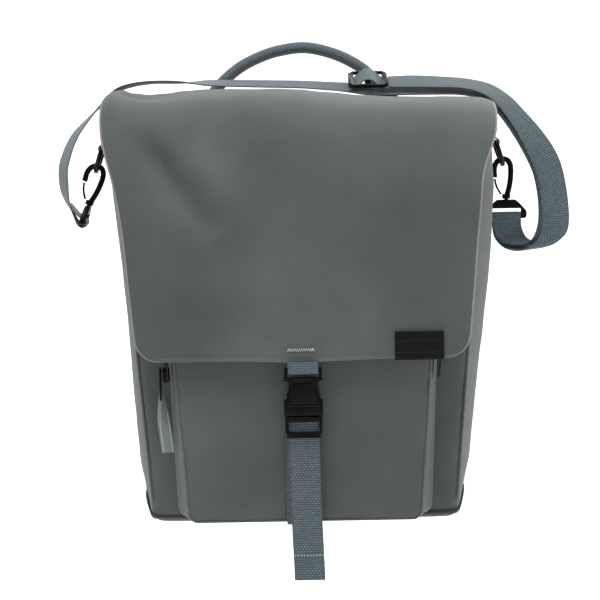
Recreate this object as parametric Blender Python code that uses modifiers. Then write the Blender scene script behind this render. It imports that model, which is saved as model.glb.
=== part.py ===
"""A bicycle pannier bag: lid flap, front pocket, shoulder strap and rack hooks.

Metres.  Bag coordinates have +X to the right as seen from the front, -Y to the front,
+Z up, and their zero just under the middle of the base.  Every piece hangs from the empty
"rack_frame", which puts the origin on the axis of the rack tube that the hooks hold.
"""
from math import atan2, cos, pi, radians, sin

import bmesh
import bpy
from mathutils import Vector

GAP = 0.0004                # between pieces that touch

# Bag body: a box that widens upwards and backwards
HEIGHT = 0.352
FRONT_BOTTOM_HALF = 0.127   # half widths of the front and back walls
FRONT_TOP_HALF = 0.156
BACK_BOTTOM_HALF = 0.137
BACK_TOP_HALF = 0.166
FRONT_BOTTOM_Y = -0.076
FRONT_TOP_Y = -0.062
BACK_Y = 0.062
BASE_Z = 0.0065             # underside of the base
FABRIC = 0.0016             # lined panel
BASE_FABRIC = 0.0024        # coated base panel
BOARD = 0.0025              # polyethylene stiffener
BOARD_MARGIN = 0.007        # board's edge to the wall beside it
BOARD_FOOT_CLEAR = 0.004    # back board above the base board
BOARD_HEAD_CLEAR = 0.010    # back board below the walls' top

# Lid flap
FLAP = 0.0022
FLAP_HINGE_Y = 0.028
HINGE_CLEAR = 0.0026        # cloth's edge to a fold axis
FLAP_HALF_TOP = BACK_TOP_HALF - 0.003
FLAP_HALF_HEM = 0.134
FLAP_HEM_Y = -0.1114
FLAP_HEM_Z = HEIGHT - 0.2045
FLAP_CORNER = 0.016
LABEL_SIZE = (0.040, 0.022)
LABEL_THICKNESS = 0.0008
LABEL_X = 0.094
LABEL_HANG = 0.001          # how far it hangs below the hem

# Front pocket
POCKET_BOTTOM_HALF = 0.100
POCKET_TOP_HALF = 0.113
POCKET_BOTTOM_Z = 0.0130
POCKET_TOP_Z = HEIGHT - 0.126
POCKET_BOTTOM_Y = -0.103
POCKET_TOP_Y = -0.092
ZIP_Y = -0.0885
ZIP_END_Z = POCKET_TOP_Z - 0.098
TAPE_WIDTH = 0.011
TAPE = 0.0010
COIL_RADIUS = 0.0016
ZIP_SLIDER = (0.0056, 0.0085, 0.0120)
PULL_TAB = (0.0016, 0.0080, 0.0270)
PULL_RIBBON = (0.0022, 0.0105, 0.0490)

# Webbing and the side-release buckle
WEB_WIDTH = 0.025
WEB = 0.0015
BUCKLE_Y = -0.1105
BUCKLE_WIDTH = WEB_WIDTH + 0.0065
BUCKLE_DEPTH = 0.0088
BUCKLE_WALL = 0.0017
SOCKET_BOTTOM_Z = FLAP_HEM_Z - 0.0452
SOCKET_BODY = 0.0300
SOCKET_ROOF = 0.0030        # solid end above the hollow
SOCKET_WINDOW = 0.0165      # the side openings that the arms spring out of
SHOULDER_CUT = (0.0025, 0.0040)   # the socket's sloped shoulders, across and down
WEB_SLOT = 0.0062
BUCKLE_BAR = 0.0032
LOOP_HEAD = (0.0028, 0.018)       # the loop's upper end, behind its lower leg and above the hem
PLUG_HEIGHT = 0.0178
PLUG_TAPER = (0.0005, 0.0012, 0.0035)    # narrower than the socket at the top, the waist, the foot
PLUG_WAIST = 0.006
PLUG_SHOULDER = 0.0042
PLUG_BAR = 0.0050
LADDER_BAR = (0.0026, 0.0030)
LADDER_BAR_RISE = 0.0048    # above the plug's lower bar
TAIL_FORWARD = 0.0006       # the tail hangs a little ahead of the buckle's middle
ARM_ROOT = (0.0052, 0.0044)       # the arm's inner side from the middle, and its width
TAIL_END_Z = -0.034
STRAP_FOOT_Z = 0.0115
STRAP_LEAN = 0.0027         # the closure strap's head stands off its foot

# Carry handle
HANDLE_HALF = 0.077
HANDLE_RISE = 0.037
HANDLE_LEAN = 0.40          # backward run for each unit of rise
HANDLE_RADIUS = 0.0048
HANDLE_Y = BACK_Y + 0.007
HANDLE_Z = HEIGHT + 0.008
HANDLE_TAB = (0.022, 0.0020, 0.019)
HANDLE_TAB_DROP = 0.0015    # the tab's top below the handle's feet

# Shoulder strap and its clips
STRAP_Y = BACK_Y - 0.015
RING_Y = BACK_Y - 0.016
RING_BAR_X = BACK_TOP_HALF + 0.0055
RING_BAR_Z = HEIGHT - 0.038
RING_HALF = 0.013
RING_DROP = 0.021
RING_WIRE = 0.0020
RING_TILT = radians(18)
TAB_WIDTH = 0.020
TAB_WALL = 0.0015
TAB_FOOT = (0.004, 0.016)   # the tab's sewn foot above the ring's bar, from and to
HOOK_ROD = 0.0023
HOOK_TILT_LEFT = radians(20)
SHANK_X = 0.0032
SHANK_RADIUS = 0.0034
SHANK_TOP = -0.0262
SWIVEL_TOP = -0.0310
SWIVEL_THICKNESS = 0.0050
GLIDE = (0.034, WEB_WIDTH + 0.004, 0.0032)
GLIDE_CUT = 0.004
GLIDE_SLOT = 0.0095
GLIDE_SLOT_STARTS = (-0.0125, 0.0030)
GLIDE_X = 0.061
GLIDE_Z = HEIGHT + 0.018
GLIDE_TILT = radians(24)     # front edge down, as it rests on the strap

# Rails, rack hooks and anchor foot on the back
RAIL_Z = HEIGHT - 0.034
RAIL_HALF = 0.135
LOWER_RAIL_Z = 0.105
LOWER_RAIL_HALF = 0.062
RAIL_WEB_HALF = 0.007
RAIL_WEB = 0.0036
FLANGE_HALF = 0.012
FLANGE = 0.0025
GRIP_WALL = 0.0027
RUN_CLEAR = 0.0003          # sliding clearance on the rails
SCREW_XS = (-0.126, 0.0, 0.126)
LOWER_SCREW_XS = (-0.054, 0.054)
SCREW_RADIUS = 0.0022
SCREW_HEAD = (0.0042, 0.0018)
NUT_RADIUS = 0.0048
NUT_HEIGHT = 0.0038
HOOK_X = 0.090
HOOK_WIDTH = 0.024
HOOK_PLATE = 0.0047
TUBE_RADIUS = 0.0065        # the largest rack tube that the hooks take
HOOK_WALL = 0.0048
TUBE_ABOVE_RAIL = FLANGE_HALF - 0.005
HOOK_TOE = (0.0035, 0.0020)       # the leg's end below the tube, inside and outside
HOOK_CORNER = 0.003
LATCH_WIDTH = 0.014
LATCH_HUB = 0.0022
LATCH_PIN_DROP = 0.007      # below the tube
LATCH_TIP = 0.0024
FOOT_SLIDE_HALF = 0.015
FOOT_SLIDE_PLATE = 0.0040
FOOT_HUB = 0.011
FOOT_ARM = 0.045
FOOT_ARM_HALF = 0.0075
FOOT_THICKNESS = 0.0040
FOOT_LIP = (0.013, 0.0035)

FLANGE_Y = BACK_Y + GAP + RAIL_WEB                 # the flange's inner face
GRIP_Y = FLANGE_Y + FLANGE + RUN_CLEAR             # inner face of what slides on a rail
TUBE_Y = GRIP_Y + HOOK_PLATE + TUBE_RADIUS
TUBE_Z = RAIL_Z + TUBE_ABOVE_RAIL
FLAP_Z = HEIGHT + GAP + FLAP / 2                   # middle of the lid's cloth
FOLD_Y = FRONT_TOP_Y - 0.0075                      # front fold, just ahead of the front wall


def share(low, high, part):
    return low + (high - low) * part


def front_y(z):
    return share(FRONT_BOTTOM_Y, FRONT_TOP_Y, z / HEIGHT)


def half_width(y, z):
    front = share(FRONT_BOTTOM_HALF, FRONT_TOP_HALF, z / HEIGHT)
    back = share(BACK_BOTTOM_HALF, BACK_TOP_HALF, z / HEIGHT)
    return share(front, back, (y - front_y(z)) / (BACK_Y - front_y(z)))


def pocket_half(z):
    return share(POCKET_BOTTOM_HALF, POCKET_TOP_HALF, (z - POCKET_BOTTOM_Z) / (POCKET_TOP_Z - POCKET_BOTTOM_Z))


def pocket_y(z):
    return share(POCKET_BOTTOM_Y, POCKET_TOP_Y, (z - POCKET_BOTTOM_Z) / (POCKET_TOP_Z - POCKET_BOTTOM_Z))


# ---------------------------------------------------------------- scene, materials, placing

for old in list(bpy.data.objects):
    bpy.data.objects.remove(old)

parts = bpy.data.collections.new("pannier_bag")
cutters = bpy.data.collections.new("cutters")
for collection in (parts, cutters):
    bpy.context.scene.collection.children.link(collection)


def finish(name, colour, roughness, metallic=0.0):
    material = bpy.data.materials.new(name)
    material.use_nodes = True
    shader = material.node_tree.nodes["Principled BSDF"]
    shader.inputs["Base Color"].default_value = (*colour, 1.0)
    shader.inputs["Roughness"].default_value = roughness
    shader.inputs["Metallic"].default_value = metallic
    return material


CLOTH = finish("grey_green_polyester", (0.15, 0.18, 0.17), 0.85)
BASE_CLOTH = finish("dark_coated_cloth", (0.035, 0.04, 0.05), 0.7)
WEBBING = finish("blue_grey_webbing", (0.11, 0.15, 0.16), 0.8)
ACETAL = finish("black_acetal", (0.008, 0.008, 0.008), 0.35)
TAG = finish("black_woven_tag", (0.012, 0.011, 0.011), 0.8)
SHEET = finish("polyethylene_board", (0.02, 0.02, 0.02), 0.6)
ALUMINIUM = finish("anodised_aluminium", (0.04, 0.04, 0.045), 0.4, 1.0)
STEEL = finish("zinc_plated_steel", (0.5, 0.5, 0.5), 0.35, 1.0)
ZIP_CLOTH = finish("zip_tape", (0.08, 0.10, 0.10), 0.85)
RIBBON = finish("grey_green_ribbon", (0.26, 0.31, 0.29), 0.8)


def pivot(name, location, parent=None, tilt=0.0):
    """An empty on a joint's axis.  Its place is in bag coordinates, under an untilted parent."""
    empty = bpy.data.objects.new(name, None)
    parts.objects.link(empty)
    empty.parent = parent
    empty.location = Vector(location) - (Vector(parent["at"]) if parent else Vector())
    empty.rotation_euler = (0.0, tilt, 0.0)
    empty["at"] = tuple(location)
    return empty


def add(name, data, material, parent, location=(0, 0, 0), rotation=(0, 0, 0), local=False):
    """A piece at a place in bag coordinates, or in its parent's own when local is set."""
    obj = bpy.data.objects.new(name, data)
    parts.objects.link(obj)
    data.materials.append(material)
    obj.parent = parent
    obj.location = Vector(location) - (Vector() if local else Vector(parent["at"]))
    obj.rotation_euler = rotation
    return obj


def set_bevel(obj, width, segments=2):
    modifier = obj.modifiers.new("edges", "BEVEL")
    modifier.width = width
    modifier.segments = segments
    modifier.limit_method = "ANGLE"


def box(name, size, material, parent, location, rotation=(0, 0, 0), bevel=0.0, local=False):
    mesh = bpy.data.meshes.new(name)
    bm = bmesh.new()
    bmesh.ops.create_cube(bm, size=1.0)
    bmesh.ops.scale(bm, vec=size, verts=bm.verts)
    bm.to_mesh(mesh)
    bm.free()
    obj = add(name, mesh, material, parent, location, rotation, local)
    if bevel:
        set_bevel(obj, bevel)
    return obj


def fabric_panel(name, corners, thickness, material, parent):
    """A four-cornered cloth, corners anticlockwise from outside, thickened inwards."""
    mesh = bpy.data.meshes.new(name)
    bm = bmesh.new()
    bmesh.ops.create_grid(bm, x_segments=1, y_segments=1, size=1.0)
    order = {(-1, -1): 0, (1, -1): 1, (1, 1): 2, (-1, 1): 3}
    for vertex in bm.verts:
        vertex.co = corners[order[(round(vertex.co.x), round(vertex.co.y))]]
    bm.to_mesh(mesh)
    bm.free()
    obj = add(name, mesh, material, parent)
    solid = obj.modifiers.new("thickness", "SOLIDIFY")
    solid.thickness = thickness
    solid.offset = -1.0
    return obj


PLANES = {"XZ": (pi / 2, 0.0, 0.0), "YZ": (pi / 2, 0.0, pi / 2), "XY": (0.0, 0.0, 0.0)}


def plate(name, outlines, thickness, material, parent, location, plane="XZ", turn=0.0, local=False):
    """A flat outline, with any holes after it, extruded both ways across its plane."""
    curve = bpy.data.curves.new(name, "CURVE")
    curve.dimensions = "2D"
    curve.fill_mode = "BOTH"
    curve.extrude = thickness / 2
    for outline in outlines:
        spline = curve.splines.new("POLY")
        spline.points.add(len(outline) - 1)
        for point, (u, v) in zip(spline.points, outline):
            point.co = (u, v, 0.0, 1.0)
        spline.use_cyclic_u = True
    rotation = list(PLANES[plane])
    rotation[1] += turn
    return add(name, curve, material, parent, location, rotation, local)


def tube(name, points, radius, material, parent, location=(0, 0, 0), closed=False, sides=2, local=False):
    curve = bpy.data.curves.new(name, "CURVE")
    curve.dimensions = "3D"
    curve.bevel_depth = radius
    curve.bevel_resolution = sides
    curve.use_fill_caps = not closed
    spline = curve.splines.new("POLY")
    spline.points.add(len(points) - 1)
    for point, place in zip(spline.points, points):
        point.co = (*place, 1.0)
    spline.use_cyclic_u = closed
    return add(name, curve, material, parent, location, (0, 0, 0), local)


def as_mesh(obj):
    """The same piece as a welded mesh, which a Boolean can work on."""
    bpy.context.view_layer.update()
    evaluated = obj.evaluated_get(bpy.context.evaluated_depsgraph_get())
    mesh = bpy.data.meshes.new_from_object(evaluated)
    bm = bmesh.new()
    bm.from_mesh(mesh)
    bmesh.ops.remove_doubles(bm, verts=bm.verts, dist=0.000005)
    bm.to_mesh(mesh)
    bm.free()
    name = obj.name
    solid = bpy.data.objects.new(name + "_solid", mesh)
    parts.objects.link(solid)
    solid.parent = obj.parent
    solid.matrix_world = obj.matrix_world.copy()
    bpy.data.objects.remove(obj)
    solid.name = name
    return solid


def combine(target, tool, operation):
    """Joins a helper to a piece, or cuts the piece with it."""
    for collection in tool.users_collection:
        collection.objects.unlink(tool)
    cutters.objects.link(tool)
    tool.hide_render = True
    tool.display_type = "WIRE"
    modifier = target.modifiers.new(tool.name, "BOOLEAN")
    modifier.operation = operation
    modifier.object = tool
    return target


def arc(centre, radius, start, end, steps):
    """Points on an arc, angles in degrees anticlockwise from the first axis."""
    angles = [radians(share(start, end, i / steps)) for i in range(steps + 1)]
    return [(centre[0] + radius * cos(a), centre[1] + radius * sin(a)) for a in angles]


def circle(centre, radius, steps=14):
    return arc(centre, radius, 0, 360, steps)[:-1]


def rectangle(u0, v0, u1, v1):
    return [(u0, v0), (u1, v0), (u1, v1), (u0, v1)]


def strip(path, thickness):
    """The closed outline of a flat band that follows a path, seen edge on."""
    left, right = [], []
    for i, here in enumerate(path):
        before = Vector(path[max(i - 1, 0)])
        after = Vector(path[min(i + 1, len(path) - 1)])
        ahead = (after - before).normalized()
        side = Vector((-ahead.y, ahead.x)) * thickness / 2
        left.append((here[0] + side.x, here[1] + side.y))
        right.append((here[0] - side.x, here[1] - side.y))
    return left + right[::-1]


frame = pivot("rack_frame", (0, 0, 0))
frame.location = (0.0, -TUBE_Y, -TUBE_Z)


# ---------------------------------------------------------------- bag body

WALL_FOOT = BASE_Z + BASE_FABRIC + GAP
INNER_BACK_Y = BACK_Y - FABRIC - GAP


def make_walls():
    front = [(s * half_width(front_y(z), z), front_y(z), z)
             for s, z in ((-1, WALL_FOOT), (1, WALL_FOOT), (1, HEIGHT), (-1, HEIGHT))]
    fabric_panel("front_panel", front, FABRIC, CLOTH, frame)
    for side, name in ((-1, "left"), (1, "right")):
        edge_ys = {z: front_y(z) + FABRIC + GAP for z in (WALL_FOOT, HEIGHT)}
        corners = [(side * half_width(y, z), y, z) for y, z in (
            (edge_ys[WALL_FOOT], WALL_FOOT), (INNER_BACK_Y, WALL_FOOT),
            (INNER_BACK_Y, HEIGHT), (edge_ys[HEIGHT], HEIGHT))]
        if side < 0:
            corners.reverse()
        fabric_panel("side_gusset_" + name, corners, FABRIC, CLOTH, frame)
    back = [(s * half_width(BACK_Y, z), BACK_Y, z)
            for s, z in ((1, WALL_FOOT), (-1, WALL_FOOT), (-1, HEIGHT), (1, HEIGHT))]
    back_panel = fabric_panel("back_panel", back, FABRIC, CLOTH, frame)
    base = [(s * half_width(y, BASE_Z), y, BASE_Z) for s, y in (
        (1, FRONT_BOTTOM_Y), (-1, FRONT_BOTTOM_Y), (-1, BACK_Y), (1, BACK_Y))]
    fabric_panel("base_panel", base, BASE_FABRIC, BASE_CLOTH, frame)
    strip_depth = BACK_Y - FLAP_HINGE_Y - HINGE_CLEAR
    box("top_strip", (2 * BACK_TOP_HALF, strip_depth, FLAP), CLOTH, frame,
        (0, BACK_Y - strip_depth / 2, FLAP_Z))
    return back_panel


def make_boards():
    low, high = WALL_FOOT + BOARD + BOARD_FOOT_CLEAR, HEIGHT - BOARD_HEAD_CLEAR
    corners = [(s * (half_width(INNER_BACK_Y, z) - BOARD_MARGIN), INNER_BACK_Y, z)
               for s, z in ((1, low), (-1, low), (-1, high), (1, high))]
    back_board = fabric_panel("back_board", corners, BOARD, SHEET, frame)
    front = FRONT_BOTTOM_Y + BOARD_MARGIN
    rear = INNER_BACK_Y - BOARD - GAP
    half = FRONT_BOTTOM_HALF - BOARD_MARGIN
    box("base_board", (2 * half, rear - front, BOARD), SHEET, frame,
        (0, (front + rear) / 2, WALL_FOOT + BOARD / 2))
    return back_board


def make_pocket():
    mesh = bpy.data.meshes.new("pocket_gusset")
    bm = bmesh.new()
    bmesh.ops.create_cube(bm, size=2.0)
    for vertex in bm.verts:
        z = POCKET_TOP_Z if vertex.co.z > 0 else POCKET_BOTTOM_Z
        y = front_y(z) - GAP if vertex.co.y > 0 else pocket_y(z)
        vertex.co = (vertex.co.x * pocket_half(z), y, z)
    open_faces = [face for face in bm.faces if abs(face.normal.y) > 0.9]
    bmesh.ops.delete(bm, geom=open_faces, context="FACES_ONLY")
    bm.to_mesh(mesh)
    bm.free()
    gusset = add("pocket_gusset", mesh, CLOTH, frame)
    solid = gusset.modifiers.new("thickness", "SOLIDIFY")
    solid.thickness = FABRIC
    solid.offset = -1.0
    corners = [(s * pocket_half(z), pocket_y(z) - GAP - FABRIC, z) for s, z in (
        (-1, POCKET_BOTTOM_Z), (1, POCKET_BOTTOM_Z), (1, POCKET_TOP_Z), (-1, POCKET_TOP_Z))]
    fabric_panel("pocket_panel", corners, FABRIC, CLOTH, frame)


# ---------------------------------------------------------------- pocket zip

ZIP_LEAN = atan2(POCKET_TOP_HALF - POCKET_BOTTOM_HALF, POCKET_TOP_Z - POCKET_BOTTOM_Z)


def zip_path(offset):
    """Up the left gusset, across the top and down the right, offset from the cloth."""
    half_end = pocket_half(ZIP_END_Z) + offset
    top_z = POCKET_TOP_Z + offset
    half_top = pocket_half(top_z) + offset
    return [(-half_end, ZIP_END_Z), (-half_top, top_z), (half_top, top_z), (half_end, ZIP_END_Z)]


def make_zip():
    plate("zip_tape", [zip_path(GAP + TAPE) + zip_path(GAP)[::-1]], TAPE_WIDTH, ZIP_CLOTH, frame,
          (0, ZIP_Y, 0))
    coil_offset = GAP + TAPE + GAP + COIL_RADIUS
    points = [(x, ZIP_Y, z) for x, z in zip_path(coil_offset)]
    tube("zip_coil", points, COIL_RADIUS, ZIP_CLOTH, frame)

    foot_z = ZIP_END_Z + ZIP_SLIDER[2] / 2
    wall_x = -(pocket_half(foot_z) + GAP + TAPE + GAP)
    slider_axis = pivot("zip_slider_axis", (wall_x, ZIP_Y, foot_z), frame, -ZIP_LEAN)
    body = box("zip_slider", ZIP_SLIDER, ACETAL, slider_axis, (-ZIP_SLIDER[0] / 2, 0, 0),
               bevel=0.0012, local=True)
    groove_depth = 2 * COIL_RADIUS + GAP
    groove = box("zip_groove", (2 * groove_depth, 2 * (COIL_RADIUS + GAP), 2 * ZIP_SLIDER[2]),
                 ACETAL, slider_axis, (0, 0, 0), local=True)
    combine(body, groove, "DIFFERENCE")

    pull_x = wall_x - ZIP_SLIDER[0] - GAP - PULL_TAB[0]
    pull_z = foot_z + ZIP_SLIDER[2] / 2
    pull_axis = pivot("zip_pull_axis", (pull_x, ZIP_Y, pull_z), frame)
    box("zip_tab", PULL_TAB, ACETAL, pull_axis, (pull_x, ZIP_Y, pull_z - PULL_TAB[2] / 2), bevel=0.0006)
    ribbon_z = pull_z - PULL_TAB[2] - GAP - PULL_RIBBON[2] / 2
    box("zip_ribbon", PULL_RIBBON, RIBBON, pull_axis, (pull_x, ZIP_Y, ribbon_z), bevel=0.0008)


# ---------------------------------------------------------------- lid flap

def make_flap():
    hinge = pivot("flap_hinge_axis", (0, FLAP_HINGE_Y, FLAP_Z), frame)
    front_edge, back_edge = FOLD_Y + HINGE_CLEAR, FLAP_HINGE_Y - HINGE_CLEAR
    box("flap_top", (2 * FLAP_HALF_TOP, back_edge - front_edge, FLAP), CLOTH, hinge,
        (0, (front_edge + back_edge) / 2, FLAP_Z))

    fold = pivot("flap_fold_axis", (0, FOLD_Y, FLAP_Z), frame)
    fold.parent = hinge
    fold.location = Vector(fold["at"]) - Vector(hinge["at"])
    lean = atan2(FOLD_Y - FLAP_HEM_Y, FLAP_Z - FLAP_HEM_Z)
    length = (FLAP_Z - FLAP_HEM_Z) / cos(lean)
    slope = FLAP_HALF_TOP - FLAP_HALF_HEM
    bottom_right = arc((FLAP_HALF_HEM - FLAP_CORNER, -length + FLAP_CORNER), FLAP_CORNER, -90, 0, 4)
    bottom_left = [(-x, y) for x, y in bottom_right][::-1]
    top_half = FLAP_HALF_TOP - slope * HINGE_CLEAR / length
    outline = bottom_right + [(top_half, -HINGE_CLEAR), (-top_half, -HINGE_CLEAR)] + bottom_left
    front = plate("flap_front", [outline], FLAP, CLOTH, fold, (0, FOLD_Y, FLAP_Z))
    front.rotation_euler[0] -= lean

    label_y = -length + LABEL_SIZE[1] / 2 - LABEL_HANG
    outward = FLAP / 2 + GAP + LABEL_THICKNESS / 2
    tag = box("flap_label", (LABEL_SIZE[0], LABEL_THICKNESS, LABEL_SIZE[1]), TAG, fold,
              (LABEL_X, FOLD_Y + label_y * sin(lean) - outward * cos(lean),
               FLAP_Z + label_y * cos(lean) - outward * sin(lean)))
    tag.rotation_euler[0] = -lean
    return fold


# ---------------------------------------------------------------- buckle and its webbing

def make_buckle(flap):
    half = BUCKLE_WIDTH / 2
    body_top = SOCKET_BOTTOM_Z + SOCKET_BODY
    bar_bottom = body_top + WEB_SLOT
    bar_top = bar_bottom + BUCKLE_BAR
    web_half = WEB_WIDTH / 2
    cut_x, cut_z = SHOULDER_CUT
    outer = [(-half, SOCKET_BOTTOM_Z), (half, SOCKET_BOTTOM_Z), (half, body_top - cut_z),
             (half - cut_x, bar_top)]
    outer += [(-x, z) for x, z in outer[:1:-1]]
    slot = rectangle(-web_half - GAP, body_top, web_half + GAP, bar_bottom)
    socket = as_mesh(plate("buckle_socket", [outer, slot], BUCKLE_DEPTH, ACETAL, flap, (0, BUCKLE_Y, 0)))
    hollow_depth = BUCKLE_DEPTH - 2 * BUCKLE_WALL
    hollow_height = SOCKET_BODY - SOCKET_ROOF
    tools = [box("socket_hollow", (BUCKLE_WIDTH - 2 * BUCKLE_WALL, hollow_depth, 2 * hollow_height), ACETAL,
                 flap, (0, BUCKLE_Y, SOCKET_BOTTOM_Z)),
             box("socket_windows", (2 * BUCKLE_WIDTH, hollow_depth, SOCKET_WINDOW), ACETAL, flap,
                 (0, BUCKLE_Y, body_top - SOCKET_ROOF - GAP - SOCKET_WINDOW / 2))]
    relief = (BUCKLE_DEPTH + BUCKLE_BAR) / 2
    for side, name in ((-1, "front"), (1, "back")):
        tools.append(box("bar_relief_" + name, (2 * web_half, BUCKLE_DEPTH, SOCKET_BODY), ACETAL, flap,
                         (0, BUCKLE_Y + side * relief, body_top + SOCKET_BODY / 2)))
    for tool in tools:
        combine(socket, tool, "DIFFERENCE")

    leg = BUCKLE_BAR / 2 + GAP + WEB
    under_bar = bar_bottom - GAP - WEB / 2
    loop_path = [(BUCKLE_Y + leg + LOOP_HEAD[0], FLAP_HEM_Z + LOOP_HEAD[1]), (BUCKLE_Y + leg, bar_top),
                 (BUCKLE_Y + leg - WEB / 2, under_bar), (BUCKLE_Y - leg + WEB / 2, under_bar),
                 (BUCKLE_Y - leg, bar_bottom + WEB), (BUCKLE_Y - leg, FLAP_HEM_Z - FLAP / 2)]
    plate("closure_loop", [strip(loop_path, WEB)], WEB_WIDTH - GAP, WEBBING, flap, (0, 0, 0), "YZ")

    make_plug(half, web_half, hollow_depth, hollow_height)

    foot_y = pocket_y(STRAP_FOOT_Z) - GAP - FABRIC - WEB
    strap_path = [(foot_y, STRAP_FOOT_Z), (foot_y + STRAP_LEAN, SOCKET_BOTTOM_Z - PLUG_SHOULDER)]
    plate("closure_strap", [strip(strap_path, WEB)], WEB_WIDTH, WEBBING, frame, (0, 0, 0), "YZ")


def make_plug(half, web_half, hollow_depth, hollow_height):
    top = SOCKET_BOTTOM_Z - GAP
    bottom = top - PLUG_HEIGHT
    plug_axis = pivot("buckle_plug_axis", (0, BUCKLE_Y, top), frame)
    at_top, at_waist, at_foot = PLUG_TAPER
    outer = [(half - at_foot, bottom), (half - at_waist, bottom + PLUG_WAIST), (half - at_top, top)]
    outer += [(-x, z) for x, z in outer[::-1]]
    slot = rectangle(-web_half - GAP, bottom + PLUG_BAR, web_half + GAP, top - PLUG_SHOULDER)
    plug = as_mesh(plate("buckle_plug", [outer, slot], BUCKLE_DEPTH, ACETAL, plug_axis, (0, BUCKLE_Y, 0)))
    tail_y = BUCKLE_Y - TAIL_FORWARD
    tail_back = tail_y + WEB / 2 + GAP
    tail_front = tail_y - WEB / 2 - GAP
    channel_size = (2 * (web_half + 2 * GAP), BUCKLE_DEPTH, 2 * PLUG_BAR + LADDER_BAR_RISE)
    channel = box("tail_channel", channel_size, ACETAL, plug_axis, (0, tail_front + BUCKLE_DEPTH / 2, bottom))
    combine(plug, channel, "DIFFERENCE")
    bar_depth, bar_height = LADDER_BAR
    cross_bar = box("ladder_bar", (2 * web_half + BUCKLE_WALL + GAP, bar_depth, bar_height), ACETAL, plug_axis,
                    (0, tail_back + bar_depth / 2, bottom + PLUG_BAR + LADDER_BAR_RISE))
    combine(plug, cross_bar, "UNION")
    tail_top = top - PLUG_SHOULDER - GAP
    box("strap_tail", (WEB_WIDTH, WEB, tail_top - TAIL_END_Z), WEBBING, plug_axis,
        (0, tail_y, (tail_top + TAIL_END_Z) / 2))

    arm_depth = hollow_depth - 2 * GAP
    reach = hollow_height - BUCKLE_WALL
    inner, root_width = ARM_ROOT
    wall_x = half - BUCKLE_WALL - GAP
    for side, name in ((-1, "left"), (1, "right")):
        root_x = side * (inner + root_width / 2)
        axis = pivot("buckle_arm_axis_" + name, (root_x, BUCKLE_Y, top), frame)
        axis.parent = plug_axis
        axis.location = Vector(axis["at"]) - Vector(plug_axis["at"])
        arm = [(inner, top + GAP), (inner + root_width, top + GAP), (inner + root_width, top + reach * 0.35),
               (wall_x, top + reach * 0.42), (wall_x, top + reach * 0.72),
               (inner + root_width * 0.8, top + reach), (inner + root_width * 0.2, top + reach * 0.7)]
        plate("buckle_arm_" + name, [[(side * x, z) for x, z in arm]], arm_depth, ACETAL, axis,
              (0, BUCKLE_Y, 0))


# ---------------------------------------------------------------- carry handle

def make_handle():
    axis = pivot("handle_axis", (0, HANDLE_Y, HANDLE_Z), frame)
    steps = 14
    points = []
    for i in range(steps + 1):
        angle = pi * i / steps
        rise = HANDLE_RISE * sin(angle)
        points.append((-HANDLE_HALF * cos(angle), HANDLE_LEAN * rise, rise))
    tube("carry_handle", points, HANDLE_RADIUS, WEBBING, axis, local=True)
    for side, name in ((-1, "left"), (1, "right")):
        tab_y = BACK_Y + GAP + HANDLE_TAB[1] / 2
        tab_z = HANDLE_Z - HANDLE_TAB_DROP - HANDLE_TAB[2] / 2
        box("handle_tab_" + name, HANDLE_TAB, WEBBING, frame, (side * HANDLE_HALF, tab_y, tab_z))


# ---------------------------------------------------------------- shoulder strap and clips

# The strap's route, seen from the front: up from the left clip, over the bag, down to the right clip.
# Its sides are measured from the bar of their ring, and its middle from the top of the walls.
STRAP_LEFT = [
    (-0.0250, -0.0685), (-0.0300, -0.0540), (-0.0350, -0.0320), (-0.0370, -0.0120), (-0.0325, 0.0040),
    (-0.0240, 0.0155), (-0.0125, 0.0270), (-0.0020, 0.0385), (0.0100, 0.0488), (0.0275, 0.0550)]
STRAP_MIDDLE = [
    (-0.1210, 0.0185), (-0.0800, 0.0150), (-0.0300, 0.0090), (0.0440, 0.0078), (0.0790, 0.0078),
    (0.1100, 0.0082), (0.1320, 0.0084)]
STRAP_RIGHT = [
    (-0.0215, 0.0464), (-0.0055, 0.0444), (0.0075, 0.0340), (0.0175, 0.0150), (0.0295, -0.0050),
    (0.0375, -0.0280), (0.0405, -0.0540), (0.0375, -0.0740), (0.0295, -0.0830), (0.0205, -0.0830),
    (0.0135, -0.0740)]
SECOND_LAYER_START = len(STRAP_LEFT) + 4    # the point beside the slider where the doubled layer ends
LAYER_STEP = 0.0021         # from one layer's middle to the next


def make_strap():
    run = [Vector((-RING_BAR_X, RING_BAR_Z)) + Vector(point) for point in STRAP_LEFT]
    run += [Vector((0, HEIGHT)) + Vector(point) for point in STRAP_MIDDLE]
    run += [Vector((RING_BAR_X, RING_BAR_Z)) + Vector(point) for point in STRAP_RIGHT]
    second = []
    for i in range(SECOND_LAYER_START, len(run)):
        ahead = (run[min(i + 1, len(run) - 1)] - run[i - 1]).normalized()
        second.append(run[i] + Vector((-ahead.y, ahead.x)) * LAYER_STEP)
    route = [tuple(point) for point in run + second[::-1]]
    plate("shoulder_strap", [strip(route, WEB)], WEB_WIDTH, WEBBING, frame, (0, STRAP_Y, 0))

    glide_axis = pivot("strap_slider_axis", (GLIDE_X, STRAP_Y, GLIDE_Z), frame)
    glide_axis.rotation_euler[0] = GLIDE_TILT
    half_x, half_y = GLIDE[0] / 2, GLIDE[1] / 2
    outer = [(half_x - GLIDE_CUT, -half_y), (half_x, -half_y + GLIDE_CUT), (half_x, half_y - GLIDE_CUT),
             (half_x - GLIDE_CUT, half_y)]
    outer += [(-x, -y) for x, y in outer]
    slot_y = WEB_WIDTH / 2 + GAP
    slots = [rectangle(low, -slot_y, low + GLIDE_SLOT, slot_y) for low in GLIDE_SLOT_STARTS]
    plate("strap_slider", [outer] + slots, GLIDE[2], ACETAL, glide_axis, (GLIDE_X, STRAP_Y, GLIDE_Z), "XY")


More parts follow.
